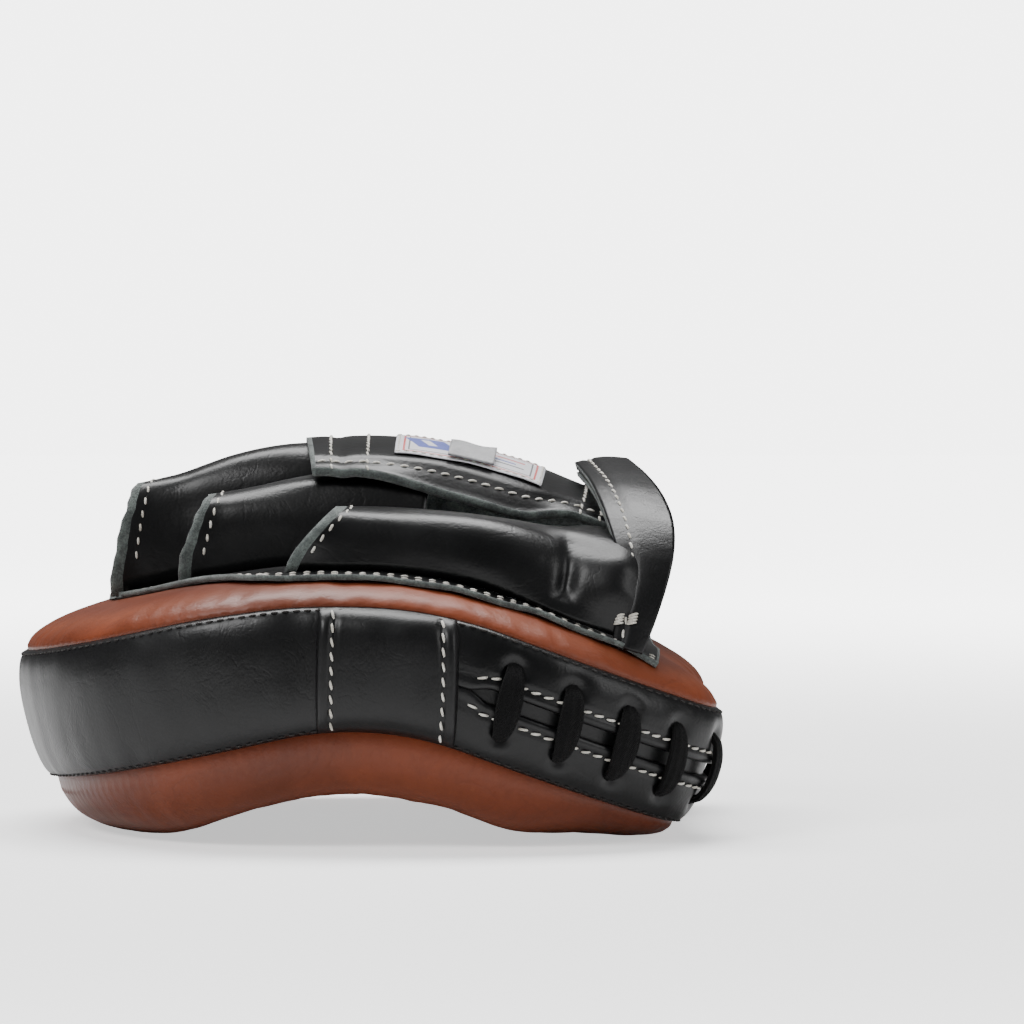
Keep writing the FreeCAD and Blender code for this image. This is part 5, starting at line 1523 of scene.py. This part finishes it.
# %% Sew every row
for name, kind, stitch, pitch, slant, material, slot in (
        ("cream_stitches", "cream", SEWN, 4.3, 0.22, thread, "white_thread"),
        ("label_stitches", "small", SMALL, 2.6, 0.1, thread, "white_thread"),
        ("seam_stitches", "dark", SMALL, 3.4, 0.0, dark_thread, "black_leather")):
    rows_piece = finish_rows(name, kind, stitch, pitch, slant, material)
    dress(rows_piece, "mitt", slot)

# %% [markdown]
# ## Floor, light and camera
# The mitt lies on a plain pale floor under broad soft lights: one large one from above and behind, a
# key from the upper left and a fill from the right. A surround that lit everything would wash out the
# dark leather, so it is white only where the camera sees it and dim for every other ray. The floor
# glows to the camera in the same way, more the farther it lies from the mitt, and so it runs into the
# surround without an edge.

# %% Studio
def plain_floor():
    """A large pale floor, which only the camera sees glow far from the mitt."""
    size = 6.0
    corners = [(-size, -size, 0), (size, -size, 0), (size, size, 0), (-size, size, 0)]
    material, tree, shader = blank_material("pale floor")
    shader.inputs["Base Color"].default_value = (0.90, 0.90, 0.90, 1)
    shader.inputs["Roughness"].default_value = 0.9
    shader.inputs["Specular IOR Level"].default_value = 0.1
    place = add_node(tree, "ShaderNodeTexCoord")
    length = add_node(tree, "ShaderNodeVectorMath", set_operation="LENGTH")
    fade = add_node(tree, "ShaderNodeMapRange", set_interpolation_type="SMOOTHSTEP")
    fade.inputs["From Min"].default_value = 0.25
    fade.inputs["From Max"].default_value = 1.5
    fade.inputs["To Min"].default_value = 0.8
    fade.inputs["To Max"].default_value = 5.0
    glow = add_node(tree, "ShaderNodeEmission")
    ray = add_node(tree, "ShaderNodeLightPath")
    dark = add_node(tree, "ShaderNodeEmission", Strength=0.0)
    only_seen = add_node(tree, "ShaderNodeMixShader")
    both = add_node(tree, "ShaderNodeAddShader")
    tree.links.new(place.outputs["Object"], length.inputs[0])
    tree.links.new(length.outputs["Value"], fade.inputs["Value"])
    tree.links.new(fade.outputs["Result"], glow.inputs["Strength"])
    tree.links.new(ray.outputs["Is Camera Ray"], only_seen.inputs[0])
    tree.links.new(dark.outputs[0], only_seen.inputs[1])
    tree.links.new(glow.outputs[0], only_seen.inputs[2])
    tree.links.new(shader.outputs[0], both.inputs[0])
    tree.links.new(only_seen.outputs[0], both.inputs[1])
    output = next(node for node in tree.nodes if node.type == "OUTPUT_MATERIAL")
    tree.links.new(both.outputs[0], output.inputs["Surface"])
    floor = make_piece("floor", np.array(corners) - [0, 0, 0.0002], [(0, 1, 2, 3)], [material])


def bright_surround():
    """A world that is white to the camera and dim to every other ray."""
    world = bpy.data.worlds.new("studio")
    world.use_nodes = True
    tree = world.node_tree
    dim = tree.nodes["Background"]
    dim.inputs["Color"].default_value = (1, 1, 1, 1)
    dim.inputs["Strength"].default_value = 0.16
    seen = add_node(tree, "ShaderNodeBackground", Color=(1, 1, 1, 1), Strength=5.0)
    path = tree.nodes.new("ShaderNodeLightPath")
    choose = tree.nodes.new("ShaderNodeMixShader")
    tree.links.new(path.outputs["Is Camera Ray"], choose.inputs[0])
    tree.links.new(dim.outputs[0], choose.inputs[1])
    tree.links.new(seen.outputs[0], choose.inputs[2])
    tree.links.new(choose.outputs[0], tree.nodes["World Output"].inputs["Surface"])
    bpy.context.scene.world = world


def area_light(name, place, aim, size, power):
    """A rectangular light at a place, turned towards its aim."""
    data = bpy.data.lights.new(name, "AREA")
    data.shape = "RECTANGLE"
    data.size, data.size_y = size
    data.energy = power
    light = bpy.data.objects.new(name, data)
    light.location = place
    light.rotation_euler = (Vector(aim) - Vector(place)).to_track_quat("-Z", "Y").to_euler()
    bpy.context.scene.collection.objects.link(light)


plain_floor()
bright_surround()
middle = (0.0, 0.0, 0.06)
area_light("overhead", (-0.1, 0.35, 1.3), middle, (1.2, 0.6), 34)
area_light("key", (-0.8, -0.9, 1.1), middle, (0.6, 0.6), 15)
area_light("fill", (1.3, -0.6, 0.7), middle, (0.5, 0.9), 6)

# %% Camera
ELEVATION, AZIMUTH, DISTANCE = math.radians(5.4), math.radians(1.35), 1.61
back = Vector((math.sin(AZIMUTH) * math.cos(ELEVATION), -math.cos(AZIMUTH) * math.cos(ELEVATION),
               math.sin(ELEVATION)))
right = Vector((math.cos(AZIMUTH), math.sin(AZIMUTH), 0))
upward = back.cross(right)
aim = right * 0.0467 + upward * 0.1012
camera_data = bpy.data.cameras.new("camera")
camera_data.lens = 173.0
camera_data.sensor_width = 36.0
camera = bpy.data.objects.new("camera", camera_data)
camera.location = back * DISTANCE
camera.rotation_euler = (aim - camera.location).to_track_quat("-Z", "Y").to_euler()
bpy.context.scene.collection.objects.link(camera)
bpy.context.scene.camera = camera
